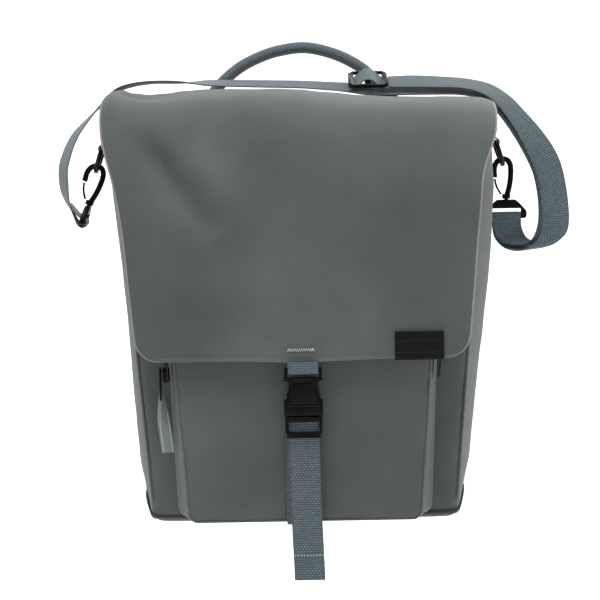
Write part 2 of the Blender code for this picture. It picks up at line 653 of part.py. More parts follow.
HOOK_LINE = [(-0.0068, -0.0100), (-0.0073, -0.0050), (-0.0062, 0.0), (-0.0034, 0.0036), (0.0003, 0.0049),
             (0.0042, 0.0037), (0.0066, 0.0002), (0.0073, -0.0050), (0.0070, -0.0120), (0.0060, -0.0190),
             (0.0045, -0.0250), (0.0034, -0.0285)]
SWIVEL_SLOT_HALF = WEB_WIDTH / 2 + 0.0003
SWIVEL_HALF = SWIVEL_SLOT_HALF + 0.0049
SWIVEL_SIDE = [(0.0080, 0.0), (0.0115, -0.0030), (SWIVEL_HALF, -0.0100), (SWIVEL_HALF, -0.0150),
               (SWIVEL_HALF - 0.0017, -0.0165)]
SWIVEL_SLOT = (-SWIVEL_SLOT_HALF, -0.0134, SWIVEL_SLOT_HALF, -0.0076)
GATE_FOOT = (-0.0020, -0.0263)
GATE_TIP = (-0.0070, -0.0128)
GATE = (0.0022, 0.0040)     # thickness and depth


def make_clip(side, name, hook_tilt, swivel_turn):
    ring_axis = pivot("ring_axis_" + name, (side * RING_BAR_X, RING_Y, RING_BAR_Z), frame, -side * RING_TILT)
    steps = 10
    ring = [(0.0, RING_HALF * cos(pi * i / steps), -RING_DROP * sin(pi * i / steps)) for i in range(steps + 1)]
    tube("d_ring_" + name, ring, RING_WIRE, STEEL, ring_axis, closed=True, local=True)

    hook_x = side * (RING_BAR_X + RING_DROP * sin(RING_TILT))
    hook_z = RING_BAR_Z - RING_DROP * cos(RING_TILT)
    hook_axis = pivot("hook_axis_" + name, (hook_x, RING_Y, hook_z), frame, hook_tilt)
    hook = as_mesh(tube("snap_hook_" + name, [(x, 0.0, z) for x, z in HOOK_LINE], HOOK_ROD, ACETAL,
                        hook_axis, local=True))
    shank_bottom = SWIVEL_TOP + GAP
    shank = plate("shank_" + name, [circle((SHANK_X, 0.0), SHANK_RADIUS)], SHANK_TOP - shank_bottom, ACETAL,
                  hook_axis, (0, 0, (SHANK_TOP + shank_bottom) / 2), "XY", local=True)
    combine(hook, as_mesh(shank), "UNION")

    gate_axis = pivot("gate_axis_" + name, (0, 0, 0), None)
    gate_axis.parent = hook_axis
    gate_axis.location = (GATE_FOOT[0], 0.0, GATE_FOOT[1])
    reach = Vector(GATE_TIP) - Vector(GATE_FOOT)
    plate("hook_gate_" + name, [strip([(0.0, 0.0), tuple(reach)], GATE[0])], GATE[1], STEEL, gate_axis,
          (0, 0, 0), local=True)

    swivel_axis = pivot("swivel_axis_" + name, (0, 0, 0), None)
    swivel_axis.parent = hook_axis
    swivel_axis.location = (SHANK_X, 0.0, SWIVEL_TOP)
    swivel_axis.rotation_euler = (0.0, 0.0, swivel_turn)
    outline = SWIVEL_SIDE + [(-x, z) for x, z in SWIVEL_SIDE[::-1]]
    plate("strap_swivel_" + name, [outline, rectangle(*SWIVEL_SLOT)], SWIVEL_THICKNESS, ACETAL,
          swivel_axis, (0, 0, 0), local=True)

    make_ring_tab(side, name)


def make_ring_tab(side, name):
    hole = RING_WIRE + GAP
    eye = hole + TAB_WALL
    back_y = RING_Y + TAB_WIDTH / 2
    foot_low, foot_high = [RING_BAR_Z + rise for rise in TAB_FOOT]
    outline = [(side * (half_width(back_y, foot_low) + GAP), foot_low),
               (side * (half_width(back_y, foot_high) + GAP), foot_high)]
    outline += [(side * (RING_BAR_X + u), RING_BAR_Z + v) for u, v in arc((0, 0), eye, 60, -150, 10)]
    eye_hole = circle((side * RING_BAR_X, RING_BAR_Z), hole, 12)
    plate("ring_tab_" + name, [outline, eye_hole], TAB_WIDTH, WEBBING, frame, (0, RING_Y, 0))


# ---------------------------------------------------------------- rails, rack hooks, anchor foot

def make_rail(name, centre_z, half_length, screw_xs, panels):
    """A T-section rail, its fasteners, and their holes through the panels behind it."""
    base = BACK_Y + GAP
    section = [(base, -RAIL_WEB_HALF), (FLANGE_Y, -RAIL_WEB_HALF), (FLANGE_Y, -FLANGE_HALF),
               (FLANGE_Y + FLANGE, -FLANGE_HALF)]
    section += [(y, -z) for y, z in section[::-1]]
    rail = as_mesh(plate(name, [section], 2 * half_length, ALUMINIUM, frame, (0, 0, centre_z), "YZ"))
    head_radius, head_height = SCREW_HEAD
    face = FLANGE_Y + FLANGE
    shank_end = INNER_BACK_Y - BOARD - GAP - NUT_HEIGHT - GAP
    for i, x in enumerate(screw_xs, start=1):
        hole = plate(f"{name}_hole_{i}", [circle((x, centre_z), SCREW_RADIUS + GAP)], 0.06, STEEL, frame,
                     (0, BACK_Y, 0))
        recess_depth = 2 * (head_height + GAP)
        recess = plate(f"{name}_recess_{i}", [circle((x, centre_z), head_radius + GAP)], recess_depth, STEEL,
                       frame, (0, face, 0))
        hole, recess = as_mesh(hole), as_mesh(recess)
        for target in (rail, *panels):
            combine(target, hole, "DIFFERENCE")
        combine(rail, recess, "DIFFERENCE")
        head = as_mesh(plate(f"{name}_screw_{i}", [circle((x, centre_z), head_radius)], head_height, STEEL,
                             frame, (0, face - head_height / 2 - GAP / 2, 0)))
        length = face - head_height - shank_end
        shank = as_mesh(plate(f"{name}_shank_{i}", [circle((x, centre_z), SCREW_RADIUS)], length, STEEL, frame,
                              (0, shank_end + length / 2, 0)))
        combine(head, shank, "UNION")
        nut_y = INNER_BACK_Y - BOARD - GAP - NUT_HEIGHT / 2
        nut = [circle((x, centre_z), NUT_RADIUS, 6), circle((x, centre_z), SCREW_RADIUS + GAP)]
        plate(f"{name}_nut_{i}", nut, NUT_HEIGHT, STEEL, frame, (0, nut_y, 0))


def grip_section(centre_z):
    """The part of a sliding piece that holds a rail's flange, from its top lip down to its bottom lip."""
    lip_y = FLANGE_Y - RUN_CLEAR
    inner, outer = FLANGE_HALF + RUN_CLEAR, FLANGE_HALF + RUN_CLEAR + GRIP_WALL
    lip_reach = RAIL_WEB_HALF + 0.001
    upper = [(GRIP_Y, outer), (BACK_Y + 2 * GAP, outer), (BACK_Y + 2 * GAP, lip_reach), (lip_y, lip_reach),
             (lip_y, inner), (GRIP_Y, inner)]
    lower = [(y, -z) for y, z in upper[::-1]]
    return [(y, centre_z + z) for y, z in upper + lower]


def make_rack_hook(side, name):
    grip = grip_section(RAIL_Z)
    plate_y = GRIP_Y + HOOK_PLATE
    leg_in, leg_out = TUBE_Y + TUBE_RADIUS, TUBE_Y + TUBE_RADIUS + HOOK_WALL
    roof, top = TUBE_Z + TUBE_RADIUS, TUBE_Z + TUBE_RADIUS + HOOK_WALL
    foot = RAIL_Z - FLANGE_HALF - RUN_CLEAR - GRIP_WALL
    under_tube = TUBE_Z - TUBE_RADIUS
    toe_in, toe_out = [under_tube - drop for drop in HOOK_TOE]
    outline = grip + [(plate_y, foot), (plate_y, roof), (leg_in, roof), (leg_in, under_tube),
                      (leg_in + 0.4 * HOOK_WALL, toe_in), (leg_out, toe_out), (leg_out, top - HOOK_CORNER),
                      (leg_out - HOOK_CORNER, top), (GRIP_Y + HOOK_CORNER / 2, top),
                      (GRIP_Y, top - HOOK_CORNER / 2)]
    axis = pivot("rack_hook_axis_" + name, (side * HOOK_X, TUBE_Y, TUBE_Z), frame)
    plate("rack_hook_" + name, [outline], HOOK_WIDTH, ACETAL, axis, (side * HOOK_X, 0, 0), "YZ")

    pin_y, pin_z = plate_y + LATCH_HUB + GAP, under_tube - LATCH_PIN_DROP
    latch_axis = pivot("latch_axis_" + name, (side * HOOK_X, pin_y, pin_z), frame)
    latch_axis.parent = axis
    latch_axis.location = Vector(latch_axis["at"]) - Vector(axis["at"])
    finger_top = under_tube - 2 * GAP - pin_z
    finger_tip = leg_in - GAP - pin_y
    finger = arc((0, 0), LATCH_HUB, 100, 300, 8) + [
        (finger_tip, finger_top - LATCH_TIP), (finger_tip, finger_top), (LATCH_HUB / 2, finger_top)]
    plate("hook_latch_" + name, [finger], LATCH_WIDTH, ACETAL, latch_axis, (0, 0, 0), "YZ", local=True)


def make_anchor_foot():
    plate_y = GRIP_Y + FOOT_SLIDE_PLATE
    grip = grip_section(LOWER_RAIL_Z)
    outer = FLANGE_HALF + RUN_CLEAR + GRIP_WALL
    outline = grip + [(plate_y, LOWER_RAIL_Z - outer), (plate_y, LOWER_RAIL_Z + outer)]
    slide_axis = pivot("foot_slide_axis", (0, plate_y, LOWER_RAIL_Z), frame)
    plate("foot_slide", [outline], 2 * FOOT_SLIDE_HALF, ACETAL, slide_axis, (0, 0, 0), "YZ")

    turn_y = plate_y + GAP + FOOT_THICKNESS / 2
    turn_axis = pivot("foot_turn_axis", (0, turn_y, LOWER_RAIL_Z), frame)
    turn_axis.parent = slide_axis
    turn_axis.location = Vector(turn_axis["at"]) - Vector(slide_axis["at"])
    hub = arc((0, 0), FOOT_HUB, -47, 227, 12)
    end = arc((0, -FOOT_ARM + FOOT_ARM_HALF), FOOT_ARM_HALF, 180, 360, 6)
    foot = as_mesh(plate("anchor_foot", [hub + end], FOOT_THICKNESS, ACETAL, turn_axis,
                         (0, turn_y, LOWER_RAIL_Z)))
    lip_depth, lip_height = FOOT_LIP
    lip = box("foot_lip", (2 * FOOT_ARM_HALF - 0.002, lip_depth, lip_height), ACETAL, turn_axis,
              (0, turn_y + lip_depth / 2, LOWER_RAIL_Z - FOOT_ARM + FOOT_HUB))
    combine(foot, lip, "UNION")


# ---------------------------------------------------------------- the whole bag

back_panel = make_walls()
back_board = make_boards()
make_pocket()
make_zip()
flap_fold = make_flap()
make_buckle(flap_fold)
make_handle()
make_strap()
make_clip(-1, "left", HOOK_TILT_LEFT, pi / 2)
make_clip(1, "right", 0.0, 0.0)
make_rail("upper_rail", RAIL_Z, RAIL_HALF, SCREW_XS, (back_panel, back_board))
make_rail("lower_rail", LOWER_RAIL_Z, LOWER_RAIL_HALF, LOWER_SCREW_XS, (back_panel, back_board))
for hook_side, hook_name in ((-1, "left"), (1, "right")):
    make_rack_hook(hook_side, hook_name)
make_anchor_foot()
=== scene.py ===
from math import cos, exp, pi, radians, sin, sqrt

import bmesh
import bpy
from mathutils import Matrix, Vector, noise


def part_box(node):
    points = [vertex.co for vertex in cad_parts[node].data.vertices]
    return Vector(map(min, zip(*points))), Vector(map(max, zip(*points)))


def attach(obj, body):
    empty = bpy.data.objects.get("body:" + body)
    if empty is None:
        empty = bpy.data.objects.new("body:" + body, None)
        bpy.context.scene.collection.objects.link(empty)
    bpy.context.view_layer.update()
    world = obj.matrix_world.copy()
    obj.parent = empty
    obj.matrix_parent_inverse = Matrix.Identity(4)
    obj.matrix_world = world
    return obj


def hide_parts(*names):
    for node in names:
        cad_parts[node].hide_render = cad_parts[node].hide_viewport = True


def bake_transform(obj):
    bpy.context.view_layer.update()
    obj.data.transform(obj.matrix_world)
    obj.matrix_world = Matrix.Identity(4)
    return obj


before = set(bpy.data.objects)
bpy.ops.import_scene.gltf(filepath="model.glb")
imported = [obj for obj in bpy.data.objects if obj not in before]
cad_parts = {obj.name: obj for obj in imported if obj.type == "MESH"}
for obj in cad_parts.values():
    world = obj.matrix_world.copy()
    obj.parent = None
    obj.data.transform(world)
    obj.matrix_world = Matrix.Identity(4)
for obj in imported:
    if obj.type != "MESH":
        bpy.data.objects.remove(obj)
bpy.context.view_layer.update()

# ------------------------------------------------------------------------------------------
# Camera, floor and light.  The bag hangs by its rear hooks, clear of the pale floor, under
# one large soft light from above, with a wide fill on each side and a bright surround.
# ------------------------------------------------------------------------------------------
BASE_Z = 0.0065              # the base's underside in bag coordinates
BACK_Y = 0.062               # the back panel's outside
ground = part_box("base_panel")[0].z - BASE_Z
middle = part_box("back_panel")[1].y - BACK_Y


def at(x, y, z):
    """A place in bag coordinates: right, rear and up from the middle of the base."""
    return Vector((x, middle + y, ground + z))


def look_along(obj, target, roll=0.0):
    aim_turn = (Vector(target) - obj.location).to_track_quat("-Z", "Y").to_matrix().to_4x4()
    obj.rotation_euler = (aim_turn @ Matrix.Rotation(roll, 4, "Z")).to_euler()


camera_data = bpy.data.cameras.new("camera")
camera_data.lens = 118.6
camera_data.sensor_width = 36.0
camera = bpy.data.objects.new("camera", camera_data)
bpy.context.scene.collection.objects.link(camera)
aim = at(-0.0014, 0.0, 0.183)
camera.location = aim + Vector((0.0, -1.70 * cos(radians(7)), 1.70 * sin(radians(7))))
look_along(camera, aim, roll=radians(-1.0))
bpy.context.scene.camera = camera

sweep_paint = bpy.data.materials.new("pale_backlit_acrylic")
sweep_paint.use_nodes = True
sweep = sweep_paint.node_tree.nodes["Principled BSDF"].inputs
sweep["Base Color"].default_value = (0.88, 0.88, 0.88, 1.0)
sweep["Roughness"].default_value = 0.9
sweep["Emission Color"].default_value = (1.0, 1.0, 1.0, 1.0)
sweep["Emission Strength"].default_value = 0.62
for name, place, turn in (("pale_floor", at(0, 0, -0.45), 0.0), ("pale_backdrop", at(0, 4.0, 3.5), pi / 2)):
    bpy.ops.object.select_all(action="DESELECT")
    bpy.ops.mesh.primitive_plane_add(size=8.0, location=place, rotation=(turn, 0, 0))
    stand = bpy.context.object
    stand.name = name
    stand.data.materials.append(sweep_paint)

surround = bpy.data.worlds.new("pale_surround")
surround.use_nodes = True
surround.node_tree.nodes["Background"].inputs["Color"].default_value = (1.0, 1.0, 1.0, 1.0)
surround.node_tree.nodes["Background"].inputs["Strength"].default_value = 0.40
bpy.context.scene.world = surround
bpy.context.scene.view_settings.view_transform = "Standard"

for name, spot, size, power in (
        ("overhead_light", (-0.10, -0.42, 1.35), 1.0, 20.0),
        ("right_fill", (1.5, -0.15, 0.30), 1.0, 7.0),
        ("left_fill", (-1.5, -0.15, 0.30), 1.0, 2.0),
        ("rear_light", (0.3, 1.5, 0.9), 1.2, 8.0)):
    lamp_data = bpy.data.lights.new(name, "AREA")
    lamp_data.shape = "DISK"
    lamp_data.size = size
    lamp_data.energy = power
    lamp = bpy.data.objects.new(name, lamp_data)
    bpy.context.scene.collection.objects.link(lamp)
    lamp.location = aim + Vector(spot)
    look_along(lamp, aim)


# ------------------------------------------------------------------------------------------
# Bag body.  Sewn from a matt woven polyester: a front, two side gussets and a back, turned
# out over their seams, so that each corner is a soft round.  The gussets belly out, with one
# slack crease down each, and a narrow welt of folded cloth covers the two front seams.
# ------------------------------------------------------------------------------------------
def srgb(code):
    """A colour written as sRGB hex, as Blender's linear values."""
    values = [int(code[i:i + 2], 16) / 255 for i in (1, 3, 5)]
    return [v / 12.92 if v <= 0.04045 else ((v + 0.055) / 1.055) ** 2.4 for v in values] + [1.0]


def node(tree, kind, links=None, values=None, stops=None, **settings):
    """Adds a node: its links as input: (node, output), its socket values, its stops and settings."""
    made = tree.nodes.new(kind)
    for key, value in settings.items():
        setattr(made, key, value)
    for key, value in (values or {}).items():
        made.inputs[key].default_value = value
    for key, (source, output) in (links or {}).items():
        tree.links.new(source.outputs[output], made.inputs[key])
    if stops:
        while len(made.color_ramp.elements) < len(stops):
            made.color_ramp.elements.new(1.0)
        for element, (place, colour) in zip(made.color_ramp.elements, stops):
            element.position = place
            element.color = srgb(colour)
    return made


def new_material(name, roughness, **sockets):
    """A material and its one Principled shader, with its plain sockets set directly."""
    material = bpy.data.materials.new(name)
    material.use_nodes = True
    shader = material.node_tree.nodes["Principled BSDF"]
    shader.inputs["Roughness"].default_value = roughness
    for key, value in sockets.items():
        shader.inputs[key.replace("_", " ")].default_value = value
    return material, material.node_tree, shader


def woven_polyester(name, dark, mid, light, roughness=0.88, sheen=0.16):
    """Matt canvas: a fine cross rib of warp and weft over broad, faint changes of shade.

    The real threads lie about 0.5 mm apart.  They are drawn at 1.5 mm, so that they show."""
    material, tree, shader = new_material(name, roughness, Sheen_Weight=sheen, Sheen_Roughness=0.6,
                                          Specular_IOR_Level=0.25)
    place = node(tree, "ShaderNodeTexCoord")
    thread_scale = 2 * pi / 0.0015 / 20
    weft = node(tree, "ShaderNodeTexWave", {"Vector": (place, "UV")},
                {"Scale": thread_scale, "Distortion": 1.8, "Detail": 2.0, "Detail Scale": 2.0},
                bands_direction="Y")
    warp = node(tree, "ShaderNodeTexWave", {"Vector": (place, "UV")},
                {"Scale": thread_scale * 1.25, "Distortion": 1.4, "Detail": 2.0, "Detail Scale": 2.0},
                bands_direction="X")
    fuzz = node(tree, "ShaderNodeTexNoise", {"Vector": (place, "Object")}, {"Scale": 900.0, "Detail": 3.0})
    clouds = node(tree, "ShaderNodeTexNoise", {"Vector": (place, "Object")},
                  {"Scale": 8.0, "Detail": 3.0, "Roughness": 0.55})
    tone = node(tree, "ShaderNodeValToRGB", {"Fac": (clouds, "Fac")},
                stops=((0.30, dark), (0.50, mid), (0.72, light)))
    rib = node(tree, "ShaderNodeMath", {0: (weft, "Fac"), 2: (warp, "Fac")}, {1: 0.9},
               operation="MULTIPLY_ADD")
    grain = node(tree, "ShaderNodeMath", {0: (fuzz, "Fac"), 2: (rib, "Value")}, {1: 2.8},
                 operation="MULTIPLY_ADD")
    grain_tone = node(tree, "ShaderNodeMapRange", {"Value": (grain, "Value")},
                      {"From Min": 0.6, "From Max": 4.1, "To Min": 0.84, "To Max": 1.16})
    shade = node(tree, "ShaderNodeMix", {6: (tone, "Color"), 7: (grain_tone, "Result")}, {0: 1.0},
                 data_type="RGBA", blend_type="MULTIPLY")
    tree.links.new(shade.outputs[2], shader.inputs["Base Color"])
    bump = node(tree, "ShaderNodeBump", {"Height": (grain, "Value")}, {"Strength": 0.15, "Distance": 0.0003})
    tree.links.new(bump.outputs["Normal"], shader.inputs["Normal"])
    return material


body_cloth = woven_polyester("grey_green_woven_polyester", "#474d4c", "#4f5554", "#585e5d")


def share(low, high, part):
    return low + (high - low) * part


def wrinkle(place, size, seed=0.0):
    """Smooth, seeded unevenness from -1 to 1."""
    return noise.noise(Vector(place) / size + Vector((seed, 3.1 * seed, 7.7)))


def smooth_run(keys, steps):
    """Points on one smooth curve through the keys, which may have any number of values."""
    run = []
    for i in range(len(keys) - 1):
        p0, p1 = keys[max(i - 1, 0)], keys[i]
        p2, p3 = keys[i + 1], keys[min(i + 2, len(keys) - 1)]
        for k in range(steps):
            t = k / steps
            run.append(tuple(
                0.5 * (2 * b + (c - a) * t + (2 * a - 5 * b + 4 * c - d) * t * t
                       + (3 * b - a - 3 * c + d) * t ** 3)
                for a, b, c, d in zip(p0, p1, p2, p3)))
    return run + [tuple(keys[-1])]


def bump_at(value, centre, width):
    return exp(-((value - centre) / width) ** 2)


def cloth_mesh(name, rows, closed=False):
    """A grid of points as a mesh.  Its UV map is the cloth's own size in metres."""
    mesh = bpy.data.meshes.new(name)
    bm = bmesh.new()
    uv = bm.loops.layers.uv.new("cloth")
    grid = [[bm.verts.new(point) for point in row] for row in rows]
    count = len(rows[0])
    widest = rows[len(rows) // 2]
    across = [0.0]
    for k in range(count):
        across.append(across[-1] + (Vector(widest[(k + 1) % count]) - Vector(widest[k])).length)
    along = [0.0]
    for low, high in zip(rows, rows[1:]):
        along.append(along[-1] + (Vector(high[count // 2]) - Vector(low[count // 2])).length)
    for j in range(len(rows) - 1):
        for k in range(count if closed else count - 1):
            after = (k + 1) % count
            face = bm.faces.new((grid[j][k], grid[j][after], grid[j + 1][after], grid[j + 1][k]))
            face.smooth = True
            for loop, (u, v) in zip(face.loops, ((k, j), (k + 1, j), (k + 1, j + 1), (k, j + 1))):
                loop[uv].uv = (across[u], along[v])
    bm.to_mesh(mesh)
    bm.free()
    piece = bpy.data.objects.new(name, mesh)
    bpy.context.scene.collection.objects.link(piece)
    return piece


def outwards(piece):
    """Merges doubles and turns every face out."""
    bm = bmesh.new()
    bm.from_mesh(piece.data)
    bmesh.ops.remove_doubles(bm, verts=bm.verts, dist=0.00001)
    bmesh.ops.recalc_face_normals(bm, faces=bm.faces)
    bm.to_mesh(piece.data)
    bm.free()
    return piece


def shaped(piece, *modifiers):
    """Adds modifiers as (kind, settings) pairs and applies each in turn."""
    bpy.ops.object.select_all(action="DESELECT")
    piece.select_set(True)
    bpy.context.view_layer.objects.active = piece
    for kind, settings in modifiers:
        modifier = piece.modifiers.new(kind.lower(), kind)
        for key, value in settings.items():
            setattr(modifier, key, value)
        bpy.ops.object.modifier_apply(modifier=modifier.name)
    return piece


BODY_HEIGHT = 0.352
CORNER = 0.009
FRONT_HALF, BACK_HALF = (0.127, 0.156), (0.137, 0.166)      # half widths at the foot and at the top


def front_y(z):
    return share(-0.076, -0.062, z / BODY_HEIGHT)


def section(z, inset=0.0):
    """One level cut through the walls, anticlockwise from above, with its slack and belly."""
    fh = share(*FRONT_HALF, z / BODY_HEIGHT) - inset
    bh = share(*BACK_HALF, z / BODY_HEIGHT) - inset
    yf, yb = front_y(z) + inset, BACK_Y - inset
    r = max(CORNER - 0.3 * inset, 0.003)
    points = []
    for k in range(44):
        t = k / 44
        belly = 0.0025 * sin(pi * t) ** 0.5
        points.append((share(-fh + r, fh - r, t), yf - belly))
    for k in range(7):
        a = radians(-90 + 90 * k / 6)
        points.append((fh - r + r * cos(a), yf + r + r * sin(a)))
    rise = min(1.0, z / 0.05) * min(1.0, max(0.0, (BODY_HEIGHT + 0.01 - z) / 0.08))
    for k in range(1, 26):
        t = k / 26
        belly = (0.0068 * sin(pi * t) ** 0.8 - 0.0022 * bump_at(t, 0.56, 0.09)) * rise
        points.append((share(fh, bh, t) + belly, share(yf + r, yb - r, t)))
    for k in range(7):
        a = radians(90 * k / 6)
        points.append((bh - r + r * cos(a), yb - r + r * sin(a)))
    for k in range(1, 34):
        points.append((share(bh - r, -bh + r, k / 34), yb))
    for k in range(7):
        a = radians(90 + 90 * k / 6)
        points.append((-bh + r + r * cos(a), yb - r + r * sin(a)))
    for k in range(1, 26):
        t = 1 - k / 26
        belly = (0.0068 * sin(pi * t) ** 0.8 - 0.0022 * bump_at(t, 0.52, 0.09)) * rise
        points.append((-share(fh, bh, t) - belly, share(yf + r, yb - r, t)))
    for k in range(7):
        a = radians(180 + 90 * k / 6)
        points.append((-fh + r + r * cos(a), yf + r + r * sin(a)))
    return points


# The lid's line from the back seam over the top and down to its hem: y, z, how much of the
# roof's unevenness is felt there, and half the lid's width there.
LID_LINE = [
    (0.0618, 0.3528, 0.10, 0.1655), (0.0540, 0.3578, 0.75, 0.1655), (0.0350, 0.3600, 1.00, 0.1655),
    (0.0100, 0.3598, 1.00, 0.1655), (-0.0150, 0.3582, 0.95, 0.1652), (-0.0350, 0.3545, 0.85, 0.1648),
    (-0.0500, 0.3480, 0.65, 0.1642), (-0.0610, 0.3385, 0.45, 0.1636), (-0.0690, 0.3260, 0.25, 0.1622),
    (-0.0748, 0.3100, 0.10, 0.1585), (-0.0802, 0.2920, 0.03, 0.1535), (-0.0860, 0.2690, 0.0, 0.1487),
    (-0.0915, 0.2450, 0.0, 0.1450), (-0.0963, 0.2230, 0.0, 0.1428), (-0.1012, 0.2000, 0.0, 0.1405),
    (-0.1063, 0.1745, 0.0, 0.1376), (-0.1114, 0.1475, 0.0, 0.1345)]
ROOF = [(-0.1700, 0.3560), (-0.1600, 0.3640), (-0.1530, 0.3650), (-0.1424, 0.3620), (-0.1280, 0.3602),
        (-0.1135, 0.3608), (-0.0980, 0.3625), (-0.0770, 0.3640), (-0.0300, 0.3635), (0.0, 0.3622),
        (0.0270, 0.3598), (0.0550, 0.3572), (0.0830, 0.3554), (0.1200, 0.3545), (0.1470, 0.3534),
        (0.1600, 0.3526), (0.1700, 0.3520)]


def along_table(table, value):
    """The second value of a table at a place between its first values."""
    for (a, fa), (b, fb) in zip(table, table[1:]):
        if value <= b:
            t = min(1.0, max(0.0, (value - a) / (b - a)))
            return share(fa, fb, t * t * (3 - 2 * t))
    return table[-1][1]


lid_run = smooth_run(LID_LINE, 8)


def lid_height(x, y):
    """The lid's height over a place on the bag's top."""
    for (ya, za, wa, _), (yb, zb, wb, _) in zip(lid_run, lid_run[1:]):
        if yb <= y <= ya:
            t = (y - ya) / (yb - ya)
            return share(za, zb, t) + share(wa, wb, t) * (along_table(ROOF, x) - 0.3600)
    return 0.40


body_rows = []
for j in range(57):
    z = share(BASE_Z + 0.0040, BODY_HEIGHT, j / 56)
    row = []
    for x, y in section(z):
        side_wall = min(1.0, abs(x) / 0.12) ** 8 * bump_at(y, -0.005, 0.042)
        if x > 0:                         # the right gusset is fuller, and the left one is flatter
            x += 0.0055 * bump_at(z, 0.220, 0.100) * side_wall
        else:
            x += 0.0034 * bump_at(z, 0.190, 0.090) * side_wall
        slack = 0.0010 * wrinkle((x, y, 0.5 * z), 0.050, 2.0) + 0.0004 * wrinkle((x, y, z), 0.017, 5.0)
        out = Vector((x / 0.16, (y + 0.005) / 0.07))
        out = Vector((out.x ** 5, out.y ** 5)).normalized()
        if y > 0.055:
            slack = 0.0
        y_in = max(y + out.y * slack, -0.0655 if z > 0.322 else -1.0)
        top = min(z, lid_height(x, y_in) - 0.0045)
        if z > 0.30:                      # the front wall leans in under the rounded lid
            y_in = max(y_in, share(-0.070, -0.046, (z - 0.30) / 0.052))
            top = min(z, lid_height(x, y_in) - 0.0045)
        row.append(at(x + out.x * slack, y_in, top))
    body_rows.append(row)
bag_body = outwards(cloth_mesh("bag_body_cloth", body_rows, closed=True))
shaped(bag_body, ("SOLIDIFY", {"thickness": 0.0014, "offset": -1.0}))
bag_body.data.materials.append(body_cloth)
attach(bag_body, "bag")
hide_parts("front_panel", "back_panel", "side_gusset_left", "side_gusset_right")


def rope(name, path, radius, sides=10, closed=False, squash=1.0):
    """A round or oval cord of cloth or thread along a path, its UV map in metres."""
    rows = []
    count = len(path)
    for i, here in enumerate(path):
        here = Vector(here)
        before = Vector(path[i - 1] if (i or closed) else path[0])
        after = Vector(path[(i + 1) % count] if (i < count - 1 or closed) else path[-1])
        ahead = (after - before).normalized()
        side = ahead.cross(Vector((0, 1, 0)))
        side = (side if side.length > 0.1 else ahead.cross(Vector((1, 0, 0)))).normalized()
        up = ahead.cross(side)
        ring = radius if not callable(radius) else radius(i / (count - 1))
        turns = [2 * pi * k / sides for k in range(sides)]
        rows.append([here + side * ring * cos(turn) + up * ring * squash * sin(turn) for turn in turns])
    if closed:
        rows.append(rows[0])
    else:
        for end, centre in ((0, path[0]), (-1, path[-1])):
            tip = [Vector(centre).lerp(point, 0.02) for point in rows[end]]
            rows.insert(0 if end == 0 else len(rows), tip)
    return outwards(cloth_mesh(name, rows, closed=True))


for side, name in ((-1, "left"), (1, "right")):
    seam = [at(side * (share(*FRONT_HALF, z / BODY_HEIGHT) - 0.0022), front_y(z) + 0.0019, z)
            for z in (0.0245 + 0.2855 * k / 40 for k in range(41))]
    welt = rope("front_welt_" + name, seam, 0.0012, 8)
    welt.data.materials.append(body_cloth)
    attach(welt, "bag")


# ------------------------------------------------------------------------------------------
# Base boot.  A dark, coated cloth, stiffer than the walls, folded up round all four sides and
# sewn on, so that wet ground does not soak in.  It stands 18 mm high behind and lower in front.
# ------------------------------------------------------------------------------------------
base_cloth = woven_polyester("dark_coated_polyester", "#25272d", "#2e3138", "#373a42", roughness=0.62,
                             sheen=0.05)
boot_rows = []
for z, inset in ((0.0000, 0.055), (0.0000, 0.030), (0.0, 0.016), (0.0003, 0.0085), (0.0013, 0.0045),
                 (0.0032, 0.0018), (0.0060, 0.0003), (0.0100, -0.0009), (0.0140, -0.0011),
                 (0.0178, -0.0011), (0.0184, -0.0004), (0.0180, 0.0004)):
    climb = max(0.0, z - 0.0032)
    boot_rows.append([at(x, y, z + BASE_Z - climb * share(0.70, 0.0, min(1.0, (y + 0.078) / 0.10)))
                      for x, y in section(z + BASE_Z, inset)])
flat_middle = [at(p.x * 0.02, (p.y - middle) * 0.02, BASE_Z) for p in boot_rows[0]]
for p in flat_middle:
    p.z = boot_rows[0][0].z
base_boot = outwards(cloth_mesh("base_boot", [flat_middle] + boot_rows, closed=True))
shaped(base_boot, ("SOLIDIFY", {"thickness": 0.0012, "offset": -1.0}))
base_boot.data.materials.append(base_cloth)
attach(base_boot, "bag")
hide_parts("base_panel")


# ------------------------------------------------------------------------------------------
# Front pocket.  A puffy box pocket of the same cloth, its panel seamed to its gusset along a
# soft, rounded fold, with small gathers where the bottom seam pulls.
# ------------------------------------------------------------------------------------------
POCKET_TOP = 0.2225
POCKET_HALF, POCKET_Y = (0.0945, 0.1115), (-0.1035, -0.0925)        # at the foot and at the top


def pocket_ring(back, inset, y_shift):
    """An outline round the pocket.  back is 1 at the body's wall and 0 at the front panel."""
    ring = []
    low, high = 0.0128 + inset, POCKET_TOP - inset
    r = 0.006
    sides = [((-1, low), (1, low)), ((1, low), (1, high)), ((1, high), (-1, high)), ((-1, high), (-1, low))]
    for (sa, za), (sb, zb) in sides:
        for k in range(40):
            t = k / 40
            z = share(za, zb, t)
            half = share(*POCKET_HALF, z / POCKET_TOP)
            half += back * share(0.0105, 0.0055, min(1.0, z / 0.15))
            x = share(sa, sb, t) * (half - inset)
            corner_x, corner_z = half - inset - r, (low + r if z < 0.11 else high - r)
            if abs(x) > corner_x and (z < low + r or z > high - r):
                span = Vector((abs(x) - corner_x, z - corner_z))
                if span.length > r:
                    span = span.normalized() * r
                x, z = (corner_x + span.x) * (1 if x > 0 else -1), corner_z + span.y
            front = share(*POCKET_Y, z / POCKET_TOP)
            y = share(front, front_y(z) - 0.0008, back) + y_shift
            ring.append((x, y, z))
    return ring


